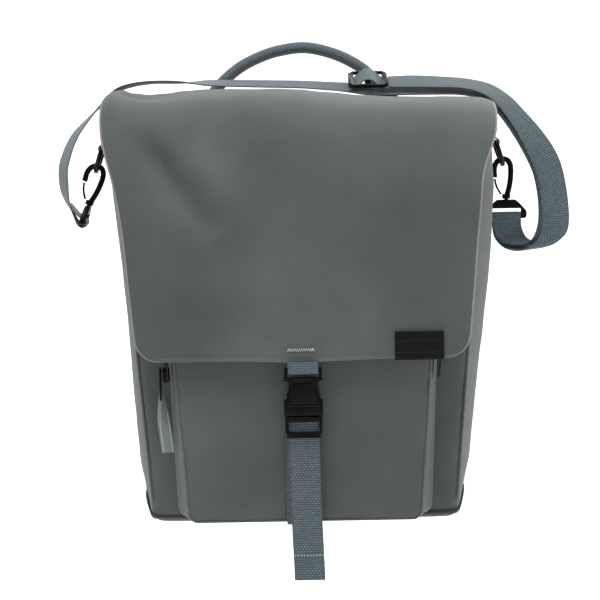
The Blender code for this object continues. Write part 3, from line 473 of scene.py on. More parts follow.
pocket_rows = []
for back, inset, shift in ((1.0, 0.0, 0.0), (0.85, 0.0002, 0.0), (0.68, 0.0005, 0.0), (0.5, 0.0006, 0.0),
                           (0.32, 0.0004, 0.0), (0.18, 0.0002, 0.0), (0.07, 0.0003, 0.0), (0.0, 0.0011, 0.0),
                           (0.0, 0.0028, -0.0012), (0.0, 0.0055, -0.0018), (0.0, 0.010, -0.0024),
                           (0.0, 0.016, -0.0028), (0.0, 0.024, -0.0030), (0.0, 0.034, -0.0030),
                           (0.0, 0.046, -0.0028), (0.0, 0.058, -0.0026), (0.0, 0.070, -0.0024),
                           (0.0, 0.080, -0.0022), (0.0, 0.088, -0.0022), (0.0, 0.0925, -0.0022)):
    row = []
    for x, y, z in pocket_ring(back, inset, shift):
        gather = 0.0
        if z < 0.045 and back < 0.3:
            fade = (1 - z / 0.045) * min(1.0, inset / 0.004)
            gather = 0.0013 * fade * (wrinkle((x, 0, 0.3 * z), 0.0062, 1.0) + 0.6 * bump_at(x, -0.052, 0.012))
        slack = 0.0007 * wrinkle((x, y, z), 0.045, 9.0) + 0.00035 * wrinkle((x, y, z), 0.015, 3.0)
        if back < 0.9:
            edge = 0.0010 * bump_at(inset, 0.0016, 0.0016) * wrinkle((x, y, z), 0.012, 6.0)
            row.append(at(x * (1 + slack * (2.0 if back > 0 else 0.0)), y - slack - gather - edge, z))
        else:
            row.append(at(x, y, z))
    pocket_rows.append(row)
pocket = outwards(cloth_mesh("front_pocket_cloth", pocket_rows, closed=True))
shaped(pocket, ("SUBSURF", {"levels": 1, "render_levels": 1}),
       ("SOLIDIFY", {"thickness": 0.0013, "offset": -1.0}))
pocket.data.materials.append(body_cloth)
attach(pocket, "bag")
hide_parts("pocket_panel", "pocket_gusset")

front_edge = []
for x, y, z in pocket_ring(0.0, 0.0011, 0.0):
    front_edge.append(at(x, y - 0.0003, z))
pocket_seam = rope("pocket_edge_seam", front_edge, 0.0009, 6, closed=True)
pocket_seam.data.materials.append(body_cloth)
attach(pocket_seam, "bag")


# ------------------------------------------------------------------------------------------
# Lid.  One panel of the body cloth from the back seam over the top and down the front, cut
# with rounded corners.  A pale strip of painted highlight runs along its two long edges, and
# its hem is turned and pressed.  It lies slack: a long soft dent, a pinched rear corner and shallow waves.
# ------------------------------------------------------------------------------------------
lid_cloth = woven_polyester("grey_green_lid_polyester", "#424847", "#4b5150", "#565d5b", sheen=0.20)
hem_cloth = woven_polyester("turned_hem_polyester", "#4c5250", "#545a58", "#5d6361")
# Painted highlight: a pale strip laid along the lid's two long edges.
edge_highlight_paint = woven_polyester("pale_painted_edge_highlight", "#77756a", "#858378", "#928f83")

HEM_CORNER = 0.018
# The width of the pale strip of painted highlight on each long edge.
EDGE_HIGHLIGHT_WIDTH = 0.0015
COLUMNS = 96


def lid_point(part, edge_gap, side, y, z, felt, half, to_hem):
    """A point on the lid.  part runs across its middle, and edge_gap is set on its two edges."""
    if side > 0 or part > 0:              # the right edge draws in below the shoulder
        half -= 0.0034 * bump_at(z, 0.300, 0.026)
    if to_hem < HEM_CORNER:
        half -= HEM_CORNER - sqrt(max(0.0, HEM_CORNER ** 2 - (HEM_CORNER - to_hem) ** 2))
    x = side * (half - edge_gap) if edge_gap is not None else part * (half - EDGE_HIGHLIGHT_WIDTH)
    on_roof = felt
    z += on_roof * (along_table(ROOF, x) - 0.3600)
    from_edge = half - abs(x)
    curl = max(0.0, 1 - from_edge / 0.010) ** 2
    z -= 0.0020 * curl * min(1.0, on_roof * 1.5)
    front = 1 - min(1.0, on_roof * 1.6)
    y += 0.0016 * curl * front
    hem_pull = bump_at(x, -0.002, 0.035) * max(0.0, 1 - to_hem / 0.05)
    z -= 0.0018 * hem_pull
    y += 0.0005 * max(0.0, 1 - to_hem / 0.006)
    # the long dent, from the left shoulder down and inwards, and a low swell beside it
    run = Vector((x + 0.1375, z - 0.3370))
    way = Vector((0.068, -0.090)).normalized()
    down = min(1.0, max(0.0, run.dot(way) / 0.113))
    off = run.x * way.y - run.y * way.x
    dent = 0.0135 * bump_at(off, 0.0, 0.0125) * sin(pi * down) ** 0.7 if 0 < run.dot(way) < 0.113 else 0.0
    swell = 0.0038 * bump_at(off, -0.026, 0.016) * bump_at(down, 0.5, 0.35)
    wave = 0.0016 * wrinkle((x, 0.35 * z, 0.6 * y), 0.055, 3.0) + 0.0010 * wrinkle((x, z, y), 0.030, 8.0)
    belly = 0.0020 * sin(pi * min(1.0, to_hem / 0.20)) * (1 - (x / half) ** 2)
    pucker = 0.0014 * bump_at(to_hem, 0.014, 0.012) * bump_at(abs(x), 0.030, 0.012)
    y += front * (dent - swell - wave * min(1.0, to_hem / 0.02) - belly + pucker)
    z += (1 - front) * 0.6 * wave
    # the pinched fold behind the left corner
    fold = Vector((x + 0.150, (y - 0.010) * 0.45))
    pinch = bump_at(fold.y + 0.18 * fold.x, -0.006, 0.0045) * bump_at(fold.x, 0.010, 0.020)
    z -= 0.0030 * pinch * on_roof
    return at(x, y, z)


lengths = [0.0]
for (ya, za, _, _), (yb, zb, _, _) in zip(lid_run, lid_run[1:]):
    lengths.append(lengths[-1] + sqrt((ya - yb) ** 2 + (za - zb) ** 2))
LID_LENGTH = lengths[-1]


def lid_line_at(length):
    for i in range(len(lengths) - 1):
        if length <= lengths[i + 1] + 1e-9:
            t = (length - lengths[i]) / (lengths[i + 1] - lengths[i])
            return [share(a, b, t) for a, b in zip(lid_run[i], lid_run[i + 1])]
    return list(lid_run[-1])


def lid_row(length):
    y, z, felt, half = lid_line_at(length)
    to_hem = LID_LENGTH - length
    row = [lid_point(0, gap, -1, y, z, felt, half, to_hem) for gap in (0.0, 0.0005, 0.0010)]
    row += [lid_point(share(-1, 1, k / COLUMNS), None, 0, y, z, felt, half, to_hem)
            for k in range(COLUMNS + 1)]
    row += [lid_point(0, gap, 1, y, z, felt, half, to_hem) for gap in (0.0010, 0.0005, 0.0)]
    return row[::-1]


fold_length = next(length for length, point in zip(lengths, lid_run) if point[1] < 0.3480)
hem_steps = [LID_LENGTH - d for d in (0.0150, 0.0125, 0.0100, 0.0080, 0.0062, 0.0046, 0.0032, 0.0021, 0.0012,
                                      0.0005, 0.0)]
top_steps = [fold_length * k / 40 for k in range(41)]
front_steps = [share(fold_length, LID_LENGTH - 0.0175, k / 70) for k in range(71)] + hem_steps
lid_pieces = []
for name, steps in (("lid_top_cloth", top_steps), ("lid_front_cloth", front_steps)):
    piece = cloth_mesh(name, [lid_row(length) for length in steps])
    columns = COLUMNS + 6
    for index, face in enumerate(piece.data.polygons):
        row, column = divmod(index, columns)
        # The three outer columns on each edge carry the pale painted highlight.
        if column < 3 or column >= columns - 3:
            face.material_index = 1
        elif steps is front_steps and row >= len(steps) - 1 - 4:
            face.material_index = 2
    shaped(piece, ("SOLIDIFY", {"thickness": 0.0020, "offset": -1.0}))
    bpy.ops.object.shade_smooth_by_angle(angle=radians(50))
    for material in (lid_cloth, edge_highlight_paint, hem_cloth):
        piece.data.materials.append(material)
    lid_pieces.append(piece)
lid_top, lid_front = lid_pieces
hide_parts("top_strip", "flap_top")
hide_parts("flap_front")
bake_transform(lid_top)
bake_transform(lid_front)

# A bar tack, a close zigzag of pale thread through the lid, holds the buckle's webbing.
pale_thread, tree, shader = new_material("pale_polyester_thread", 0.55, Sheen_Weight=0.3)
place = node(tree, "ShaderNodeTexCoord")
twist = node(tree, "ShaderNodeTexWave", {"Vector": (place, "UV")}, {"Scale": 2 * pi / 0.0007 / 20},
             bands_direction="DIAGONAL")
tone = node(tree, "ShaderNodeValToRGB", {"Fac": (twist, "Fac")}, stops=((0.2, "#b3b8b5"), (0.8, "#dfe2df")))
tree.links.new(tone.outputs["Color"], shader.inputs["Base Color"])


def lid_face(x, height, proud):
    """A place just ahead of the lid's front, for what is sewn on it."""
    for i in range(len(lid_run) - 1):
        if lid_run[i + 1][1] <= height:
            break
    t = min(1.0, max(0.0, (lid_run[i][1] - height) / (lid_run[i][1] - lid_run[i + 1][1])))
    y, z, felt, half = [share(a, b, t) for a, b in zip(lid_run[i], lid_run[i + 1])]
    to_hem = LID_LENGTH - share(lengths[i], lengths[i + 1], t)
    place = lid_point(x / (half - EDGE_HIGHLIGHT_WIDTH), None, 0, y, z, felt, half, max(to_hem, HEM_CORNER))
    return place + Vector((0, -proud, 0))


zigzag = []
for k in range(25):
    zigzag.append(lid_face(share(-0.0120, 0.0090, k / 24), 0.1570 + (0.0011 if k % 2 else -0.0011), 0.0004))
bar_tack = rope("lid_bar_tack", zigzag, 0.00045, 6)
bar_tack.data.materials.append(pale_thread)
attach(bar_tack, "flap_front")


# ------------------------------------------------------------------------------------------
# Label.  A plain black woven tag, folded over at its top and sewn to the lid above the hem,
# with nothing on it but two thin woven lines.
# ------------------------------------------------------------------------------------------
label_satin, tree, shader = new_material("black_woven_satin_tag", 0.60, Specular_IOR_Level=0.12)
place = node(tree, "ShaderNodeTexCoord")
split = node(tree, "ShaderNodeSeparateXYZ", {"Vector": (place, "UV")})
lines = node(tree, "ShaderNodeTexWave", {"Vector": (place, "UV")}, {"Scale": 2 * pi / 0.0010 / 20},
             bands_direction="X")
weave = node(tree, "ShaderNodeTexWave", {"Vector": (place, "UV")}, {"Scale": 2 * pi / 0.0009 / 20},
             bands_direction="Y")
ground_tone = node(tree, "ShaderNodeValToRGB", {"Fac": (lines, "Fac")},
                   stops=((0.2, "#0a0a09"), (0.9, "#151413")))
near_line = node(tree, "ShaderNodeMath", {0: (split, "Y")}, {1: 0.0060, 2: 0.00018}, operation="COMPARE")
far_line = node(tree, "ShaderNodeMath", {0: (split, "Y")}, {1: 0.0155, 2: 0.00018}, operation="COMPARE")
either = node(tree, "ShaderNodeMath", {0: (near_line, "Value"), 1: (far_line, "Value")}, operation="MAXIMUM")
stripe = node(tree, "ShaderNodeMix", {0: (either, "Value"), 6: (ground_tone, "Color")},
              {7: srgb("#2b2c2b")}, data_type="RGBA")
tree.links.new(stripe.outputs[2], shader.inputs["Base Color"])
bump = node(tree, "ShaderNodeBump", {"Height": (weave, "Fac")}, {"Strength": 0.25, "Distance": 0.0002})
tree.links.new(bump.outputs["Normal"], shader.inputs["Normal"])

LABEL_FOOT, LABEL_TOP = 0.1468, 0.1697
LABEL_HEM = 0.1490           # the lid's hem, which the label hangs a little below
label_rows = []
for k in range(19):
    height = share(LABEL_FOOT, LABEL_TOP, k / 18)
    fold_over = 0.0007 if height > 0.1668 else 0.0
    sewn_edge = 0.0004 * min(1.0, (height - LABEL_FOOT) / 0.002)
    row = []
    for i in range(25):
        x = share(0.0745, 0.1140, i / 24)
        row.append(lid_face(x, max(height, LABEL_HEM), 0.0008 + fold_over + sewn_edge)
                   + Vector((0, 0, min(0.0, height - LABEL_HEM))))
    label_rows.append(row)
label = outwards(cloth_mesh("lid_label", label_rows))
shaped(label, ("SOLIDIFY", {"thickness": 0.0006, "offset": 1.0}))
label.data.materials.append(label_satin)
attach(label, "flap_front")
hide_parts("flap_label")

# ------------------------------------------------------------------------------------------
# Pocket zip.  A coil zip on ribbed tape, sewn into the pocket's gusset from low on the left,
# over the top, to low on the right.  A black moulded slider carries a slim tab, with a loop
# of grey-green ribbon, stitched along both edges, as a pull.
# ------------------------------------------------------------------------------------------
zip_weave, tree, shader = new_material("black_green_zip_tape", 0.82, Sheen_Weight=0.1)
place = node(tree, "ShaderNodeTexCoord")
ribs = node(tree, "ShaderNodeTexWave", {"Vector": (place, "UV")}, {"Scale": 2 * pi / 0.0016 / 20},
            bands_direction="Y")
tone = node(tree, "ShaderNodeValToRGB", {"Fac": (ribs, "Fac")}, stops=((0.15, "#1d2121"), (0.85, "#373d3d")))
tree.links.new(tone.outputs["Color"], shader.inputs["Base Color"])
bump = node(tree, "ShaderNodeBump", {"Height": (ribs, "Fac")}, {"Strength": 0.5, "Distance": 0.0003})
tree.links.new(bump.outputs["Normal"], shader.inputs["Normal"])

ZIP_Y = -0.0885


def pocket_half(z):
    return share(0.0985, 0.1135, z / POCKET_TOP) + 0.0026


def zip_line(offset):
    """Up the left of the pocket, round its top corners and down the right, off the cloth."""
    low, high, r = 0.128, 0.2232 + offset, 0.011
    heights = [share(low, high - r, k / 24) for k in range(25)]
    line = [(-pocket_half(z) - offset, z) for z in heights]
    corner = pocket_half(high - r) + offset - r
    line += [(-corner - r * cos(pi / 2 * k / 6), high - r + r * sin(pi / 2 * k / 6)) for k in range(1, 7)]
    line += [(share(-corner, corner, k / 40), high) for k in range(1, 40)]
    line += [(corner + r * sin(pi / 2 * k / 6), high - r + r * cos(pi / 2 * k / 6)) for k in range(7)]
    heights = [share(high - r, low, k / 24) for k in range(1, 25)]
    line += [(pocket_half(z) + offset, z) for z in heights]
    return line


tape_rows = []
for x, z in zip_line(0.0004):
    tape_rows.append([at(x, ZIP_Y + w, z) for w in (-0.0055, -0.0030, 0.0, 0.0030, 0.0055)])
zip_tape = outwards(cloth_mesh("zip_tape_cloth", tape_rows))
shaped(zip_tape, ("SOLIDIFY", {"thickness": 0.0008, "offset": 0.0}))
zip_tape.data.materials.append(zip_weave)
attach(zip_tape, "bag")
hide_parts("zip_tape")


def moulded_plastic(name, dark, light, roughness):
    """Moulded acetal: near-black and satin, with a faint spark-eroded grain and faint random patches that are
    paler and rougher.
    """
    material, tree, shader = new_material(name, roughness, Specular_IOR_Level=0.12)
    place = node(tree, "ShaderNodeTexCoord")
    mould = node(tree, "ShaderNodeTexNoise", {"Vector": (place, "Object")}, {"Scale": 1400.0, "Detail": 2.0})
    rubs = node(tree, "ShaderNodeTexNoise", {"Vector": (place, "Object")}, {"Scale": 160.0, "Detail": 4.0})
    tone = node(tree, "ShaderNodeValToRGB", {"Fac": (rubs, "Fac")}, stops=((0.35, dark), (0.75, light)))
    tree.links.new(tone.outputs["Color"], shader.inputs["Base Color"])
    gloss = node(tree, "ShaderNodeMapRange", {"Value": (rubs, "Fac")},
                 {"To Min": roughness - 0.06, "To Max": roughness + 0.08})
    tree.links.new(gloss.outputs["Result"], shader.inputs["Roughness"])
    bump = node(tree, "ShaderNodeBump", {"Height": (mould, "Fac")}, {"Strength": 0.12, "Distance": 0.0001})
    tree.links.new(bump.outputs["Normal"], shader.inputs["Normal"])
    return material


black_acetal = moulded_plastic("black_moulded_acetal", "#020202", "#090909", 0.40)

# The coil: one small rounded link, copied all the way along the tape.
coil_line = zip_line(0.0016)
coil_lengths = [0.0]
for a, b in zip(coil_line, coil_line[1:]):
    coil_lengths.append(coil_lengths[-1] + sqrt((a[0] - b[0]) ** 2 + (a[1] - b[1]) ** 2))
coil_bm = bmesh.new()
TOOTH_PITCH = 0.0021
links = int(coil_lengths[-1] / TOOTH_PITCH)
i = 0
for k in range(links):
    length = TOOTH_PITCH * (k + 0.5)
    while coil_lengths[i + 1] < length:
        i += 1
    t = (length - coil_lengths[i]) / (coil_lengths[i + 1] - coil_lengths[i])
    (start_x, start_z), (end_x, end_z) = coil_line[i], coil_line[i + 1]
    x, z = share(start_x, end_x, t), share(start_z, end_z, t)
    way = Vector((end_x - start_x, 0, end_z - start_z)).normalized()
    across = Vector((0, 1, 0))
    turn = Matrix((way, across, way.cross(across))).transposed().to_4x4()
    bmesh.ops.create_uvsphere(coil_bm, u_segments=6, v_segments=4, radius=1.0,
                              matrix=Matrix.Translation(at(x, ZIP_Y, z)) @ turn
                              @ Matrix.Diagonal((0.0008, 0.0024, 0.0012, 1.0)))
zip_teeth_mesh = bpy.data.meshes.new("zip_teeth")
coil_bm.to_mesh(zip_teeth_mesh)
coil_bm.free()
zip_teeth = bpy.data.objects.new("zip_teeth", zip_teeth_mesh)
bpy.context.scene.collection.objects.link(zip_teeth)
zip_teeth.data.shade_smooth()
zip_teeth.data.materials.append(black_acetal)
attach(zip_teeth, "bag")
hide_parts("zip_coil")


def softened(name, source, body, material, bevel):
    """A copy of a CAD piece with its edges rounded off as a mould or a tumbler leaves them."""
    piece = bpy.data.objects.new(name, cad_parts[source].data.copy())
    bpy.context.scene.collection.objects.link(piece)
    bm = bmesh.new()
    bm.from_mesh(piece.data)
    bmesh.ops.remove_doubles(bm, verts=bm.verts, dist=0.000005)
    bmesh.ops.dissolve_limit(bm, angle_limit=radians(2), verts=bm.verts, edges=bm.edges)
    bmesh.ops.recalc_face_normals(bm, faces=bm.faces)
    bm.to_mesh(piece.data)
    bm.free()
    shaped(piece, ("BEVEL", {"width": bevel, "segments": 3, "limit_method": "ANGLE",
                             "angle_limit": radians(28), "use_clamp_overlap": True,
                             "harden_normals": False}))
    bpy.ops.object.shade_smooth_by_angle(angle=radians(40))
    piece.data.materials.clear()
    piece.data.materials.append(material)
    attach(piece, body)
    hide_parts(source)
    return piece


softened("zip_slider_body", "zip_slider", "zip_slider", black_acetal, 0.0003)
softened("zip_pull_tab", "zip_tab", "zip_pull", black_acetal, 0.0003)

ribbon_weave, tree, shader = new_material("grey_green_grosgrain_ribbon", 0.78, Sheen_Weight=0.25)
place = node(tree, "ShaderNodeTexCoord")
split = node(tree, "ShaderNodeSeparateXYZ", {"Vector": (place, "UV")})
ribs = node(tree, "ShaderNodeTexWave", {"Vector": (place, "UV")}, {"Scale": 2 * pi / 0.0014 / 20},
            bands_direction="Y")
tone = node(tree, "ShaderNodeValToRGB", {"Fac": (ribs, "Fac")}, stops=((0.1, "#65706e"), (0.9, "#828d8a")))
from_middle = node(tree, "ShaderNodeMath", {0: (split, "X")}, {1: 0.0052}, operation="SUBTRACT")
either_side = node(tree, "ShaderNodeMath", {0: (from_middle, "Value")}, operation="ABSOLUTE")
stitch_row = node(tree, "ShaderNodeMath", {0: (either_side, "Value")}, {1: 0.0038, 2: 0.0004},
                  operation="COMPARE")
stitched = node(tree, "ShaderNodeMix", {0: (stitch_row, "Value"), 6: (tone, "Color")}, {7: srgb("#a7b0ad")},
                data_type="RGBA")
tree.links.new(stitched.outputs[2], shader.inputs["Base Color"])
bump = node(tree, "ShaderNodeBump", {"Height": (ribs, "Fac")}, {"Strength": 0.4, "Distance": 0.0002})
tree.links.new(bump.outputs["Normal"], shader.inputs["Normal"])

tab_low, tab_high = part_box("zip_tab")
pull_x = (tab_low.x + tab_high.x) / 2
pull_y = (tab_low.y + tab_high.y) / 2
ribbon_rows = []
for k in range(31):
    t = k / 30
    z = share(tab_low.z + 0.0095, tab_low.z - 0.0435, t)
    turn = radians(90 - 78 * min(1.0, t * 1.6))
    half = share(0.0030, 0.0053, min(1.0, t * 2.2))
    thick = 0.0013 + 0.0010 * (1 - t) * (1 if t > 0.1 else 0.2) + (0.0004 if t > 0.97 else 0.0)
    sway = 0.0052 * t ** 1.3
    ring = []
    for i in range(13):
        w = share(-half, half, i / 12)
        ring.append(Vector((pull_x + sway + w * cos(turn) + thick / 2 * sin(turn),
                            pull_y + w * sin(turn) - thick / 2 * cos(turn), z)))
    for i in range(13):
        w = share(half, -half, i / 12)
        ring.append(Vector((pull_x + sway + w * cos(turn) - thick / 2 * sin(turn),
                            pull_y + w * sin(turn) + thick / 2 * cos(turn), z)))
    ribbon_rows.append(ring)
for end in (0, -1):
    centre = sum(ribbon_rows[end], Vector()) / 26
    cap = [centre.lerp(point, 0.02) for point in ribbon_rows[end]]
    ribbon_rows.insert(0 if end == 0 else len(ribbon_rows), cap)
pull_ribbon = outwards(cloth_mesh("zip_pull_ribbon", ribbon_rows, closed=True))
pull_ribbon.data.materials.append(ribbon_weave)
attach(pull_ribbon, "zip_pull")
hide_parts("zip_ribbon")


# ------------------------------------------------------------------------------------------
# Webbing.  Blue-grey polypropylene, 25 mm wide and 1.5 mm thick, woven so that pale picks
# show in staggered rows between two smooth selvedges.  One length holds the buckle's socket
# to the lid, one is sewn to the pocket's foot behind it, and one hangs from the plug.
# ------------------------------------------------------------------------------------------
def webbing_material(name, valley, thread, pick, half=0.0125):
    """Woven webbing.  The real picks are about 1.1 mm apart, and are drawn at 2.0 mm to show."""
    material, tree, shader = new_material(name, 0.74, Sheen_Weight=0.22, Sheen_Roughness=0.5,
                                          Specular_IOR_Level=0.35)
    place = node(tree, "ShaderNodeTexCoord")
    picks = node(tree, "ShaderNodeTexBrick", {"Vector": (place, "UV")},
                 {"Scale": 1.0, "Brick Width": 0.0027, "Row Height": 0.0020, "Mortar Size": 0.0004,
                  "Mortar Smooth": 0.5, "Bias": 0.0, "Color1": srgb(thread), "Color2": srgb(pick),
                  "Mortar": srgb(valley)}, offset=0.5, offset_frequency=2, squash=1.0)
    split = node(tree, "ShaderNodeSeparateXYZ", {"Vector": (place, "UV")})
    off_middle = node(tree, "ShaderNodeMath", {0: (split, "X")}, {1: half}, operation="SUBTRACT")
    distance = node(tree, "ShaderNodeMath", {0: (off_middle, "Value")}, operation="ABSOLUTE")
    selvedge = node(tree, "ShaderNodeMath", {0: (distance, "Value")}, {1: half - 0.0014},
                    operation="GREATER_THAN")
    fibres = node(tree, "ShaderNodeTexNoise", {"Vector": (place, "Object")}, {"Scale": 700.0, "Detail": 3.0})
    edge_tone = node(tree, "ShaderNodeValToRGB", {"Fac": (fibres, "Fac")},
                     stops=((0.3, valley), (0.7, thread)))
    face = node(tree, "ShaderNodeMix", {0: (selvedge, "Value"), 6: (picks, "Color"), 7: (edge_tone, "Color")},
                data_type="RGBA")
    tree.links.new(face.outputs[2], shader.inputs["Base Color"])
    height = node(tree, "ShaderNodeMath", {0: (picks, "Fac"), 1: (fibres, "Fac")}, operation="SUBTRACT")
    bump = node(tree, "ShaderNodeBump", {"Height": (height, "Value")}, {"Strength": 0.5, "Distance": 0.0004},
                invert=True)
    tree.links.new(bump.outputs["Normal"], shader.inputs["Normal"])
    return material


webbing = webbing_material("blue_grey_polypropylene_webbing", "#323e42", "#55636a", "#64737a")
BAND_COLUMNS = 8


def band_rings(keys, steps, thickness=0.0015):
    """Cross-sections of a strap between two edges, given as (front edge, back edge) keys."""
    edges = smooth_run([tuple(a) + tuple(b) for a, b in keys], steps)
    pairs = [(at(*edge[:3]), at(*edge[3:])) for edge in edges]
    rings, length, lengths_along = [], 0.0, []
    for i, (left, right) in enumerate(pairs):
        a0, b0 = pairs[max(i - 1, 0)]
        a1, b1 = pairs[min(i + 1, len(pairs) - 1)]
        ahead = (a1 + b1 - a0 - b0).normalized()
        normal = ahead.cross(right - left).normalized()
        if i:
            length += ((left + right) / 2 - (pairs[i - 1][0] + pairs[i - 1][1]) / 2).length
        lengths_along.append(length)
        ring = []
        for face in (1, -1):
            for k in range(BAND_COLUMNS + 1):
                t = k / BAND_COLUMNS if face > 0 else 1 - k / BAND_COLUMNS
                thin = 0.55 if k in (0, BAND_COLUMNS) else 1.0
                ring.append(left.lerp(right, t) + normal * face * thin * thickness / 2)
        rings.append(ring)
    return rings, lengths_along


def band(name, rings, lengths_along, first=0, last=None, width=0.025):
    """A strap, or a stretch of one, with its ends closed."""
    last = len(rings) - 1 if last is None else last
    mesh = bpy.data.meshes.new(name)
    bm = bmesh.new()
    uv = bm.loops.layers.uv.new("cloth")
    columns = BAND_COLUMNS + 1
    across = [width * k / BAND_COLUMNS for k in range(columns)]
    across += [width * (1 - k / BAND_COLUMNS) for k in range(columns)]
    grid = [[bm.verts.new(point) for point in rings[i]] for i in range(first, last + 1)]
    for j in range(len(grid) - 1):
        for k in range(2 * columns):
            after = (k + 1) % (2 * columns)
            face = bm.faces.new((grid[j][k], grid[j][after], grid[j + 1][after], grid[j + 1][k]))
            face.smooth = True
            for loop, (u, v) in zip(face.loops, ((k, j), (after, j), (after, j + 1), (k, j + 1))):
                loop[uv].uv = (across[u], lengths_along[first + v])
    for row in (grid[0], grid[-1]):
        for k in range(BAND_COLUMNS):
            bm.faces.new((row[k], row[k + 1], row[2 * columns - 2 - k], row[2 * columns - 1 - k]))
    bmesh.ops.recalc_face_normals(bm, faces=bm.faces)
    bm.to_mesh(mesh)
    bm.free()
    piece = bpy.data.objects.new(name, mesh)
    bpy.context.scene.collection.objects.link(piece)
    shaped(piece)
    bpy.ops.object.shade_smooth_by_angle(angle=radians(50))
    piece.data.materials.append(webbing)
    return piece


def flat_keys(line, half=0.0125, x=0.0):
    """Keys for a strap that lies across the bag's front, from (y, z) or (y, z, x) points."""
    return [((x - half + (p[2] if len(p) > 2 else 0.0), p[0], p[1]),
             (x + half + (p[2] if len(p) > 2 else 0.0), p[0], p[1])) for p in line]


BUCKLE_Y = -0.1105
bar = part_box("buckle_socket")[1].z - ground - 0.0016      # middle of the socket's top bar
loop_line = [(-0.1040, 0.1640), (-0.1052, 0.1540), (-0.1062, bar + 0.003), (-0.1070, bar - 0.0005),
             (-0.1086, bar - 0.0028), (-0.1105, bar - 0.0033), (-0.1126, bar - 0.0028),
             (-0.1140, bar - 0.0005), (-0.1144, bar + 0.0020), (-0.1142, 0.1463)]
rings, lengths_along = band_rings(flat_keys(loop_line, 0.0123), 5)
closure_loop = band("closure_loop_webbing", rings, lengths_along, width=0.0246)
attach(closure_loop, "flap_front")
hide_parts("closure_loop")

strap_line = [(-0.1062, 0.0118), (-0.1074, 0.0142), (-0.1077, 0.0230), (-0.1072, 0.0400), (-0.1066, 0.0600),
              (-0.1062, 0.0800), (-0.1056, 0.0920), (-0.1050, 0.0975)]
rings, lengths_along = band_rings(flat_keys(strap_line, 0.0125, -0.0024), 5)
closure_strap = band("closure_strap_webbing", rings, lengths_along)
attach(closure_strap, "bag")
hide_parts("closure_strap")

tail_line = [(-0.1107, 0.0970, 0.0), (-0.1112, 0.0920, 0.0), (-0.1113, 0.0860, 0.0), (-0.1111, 0.0800, 0.0),
             (-0.1113, 0.0500, 0.0006), (-0.1118, 0.0200, 0.0012), (-0.1116, -0.0100, 0.0022),
             (-0.1111, -0.0340, 0.0030)]
rings, lengths_along = band_rings(flat_keys(tail_line), 6)
for ring, length in zip(rings, lengths_along):            # the doubled, sewn end
    if length > 0.1095:
        middle_y = sum(p.y for p in ring) / len(ring)
        for point in ring:
            point.y = middle_y + (point.y - middle_y) * 1.9
tail = band("strap_tail_webbing", rings, lengths_along)
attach(tail, "buckle_plug")
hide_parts("strap_tail")


def stitch_line(name, path, body, pitch=0.0028, radius=0.00028):
    """A row of thread stitches: one small rounded stitch, set along the path again and again."""
    bm = bmesh.new()
    for (ax, ay, az), (bx, by, bz) in zip(path, path[1:]):
        a, b = Vector((ax, ay, az)), Vector((bx, by, bz))
        count = max(1, int((b - a).length / pitch))
        way = (b - a).normalized()
        side = way.cross(Vector((0, 1, 0)) if abs(way.y) < 0.9 else Vector((1, 0, 0))).normalized()
        turn = Matrix((way, side, way.cross(side))).transposed().to_4x4()
        for k in range(count):
            bmesh.ops.create_uvsphere(bm, u_segments=6, v_segments=4, radius=1.0,
                                      matrix=Matrix.Translation(a.lerp(b, (k + 0.5) / count)) @ turn
                                      @ Matrix.Diagonal((pitch * 0.38, radius, radius, 1.0)))
    mesh = bpy.data.meshes.new(name)
    bm.to_mesh(mesh)
    bm.free()
    mesh.shade_smooth()
    piece = bpy.data.objects.new(name, mesh)
    bpy.context.scene.collection.objects.link(piece)
    piece.data.materials.append(pale_thread)
    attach(piece, body)


stitch_line("strap_tail_stitches", [at(-0.0100, -0.11280, -0.0130), at(0.0150, -0.11280, -0.0130)],
            "buckle_plug", pitch=0.0024, radius=0.0004)


# ------------------------------------------------------------------------------------------
# Side-release buckle.  Moulded black acetal.  The socket is a flat box with a scoop in each
# side, where the two springy arms of the plug are pinched, and a raised panel between them.
# The plug's body is a ladder frame that the strap's tail threads through.
# ------------------------------------------------------------------------------------------
def block(name, low, high, bevel=0.0, segments=3):
    """A block between two corners, given in bag coordinates, with its edges rounded."""
    low, high = at(*low), at(*high)
    bpy.ops.object.select_all(action="DESELECT")
    bpy.ops.mesh.primitive_cube_add(size=1.0, location=(low + high) / 2, scale=high - low)
    piece = bpy.context.object
    piece.name = name
    bpy.ops.object.transform_apply(location=True, rotation=True, scale=True)
    if bevel:
        shaped(piece, ("BEVEL", {"width": bevel, "segments": segments, "limit_method": "NONE"}))
    return piece


def carve(piece, tool, operation="DIFFERENCE"):
    """Cuts a piece with another, or joins them, and clears the other away."""
    shaped(piece, ("BOOLEAN", {"object": tool, "operation": operation, "solver": "EXACT"}))
    bpy.data.objects.remove(tool)


def finish_hard(piece, body, material, slot, *replaced, edge=0.0004, angle=35):
    """Breaks a hard piece's sharp edges, and gives it its body and material; its slot is not used."""
    shaped(piece, ("BEVEL", {"width": edge, "segments": 2, "limit_method": "ANGLE",
                             "angle_limit": radians(40)}))
    bpy.ops.object.shade_smooth_by_angle(angle=radians(angle))
    piece.data.materials.clear()
    piece.data.materials.append(material)
    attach(piece, body)
    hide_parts(*replaced)


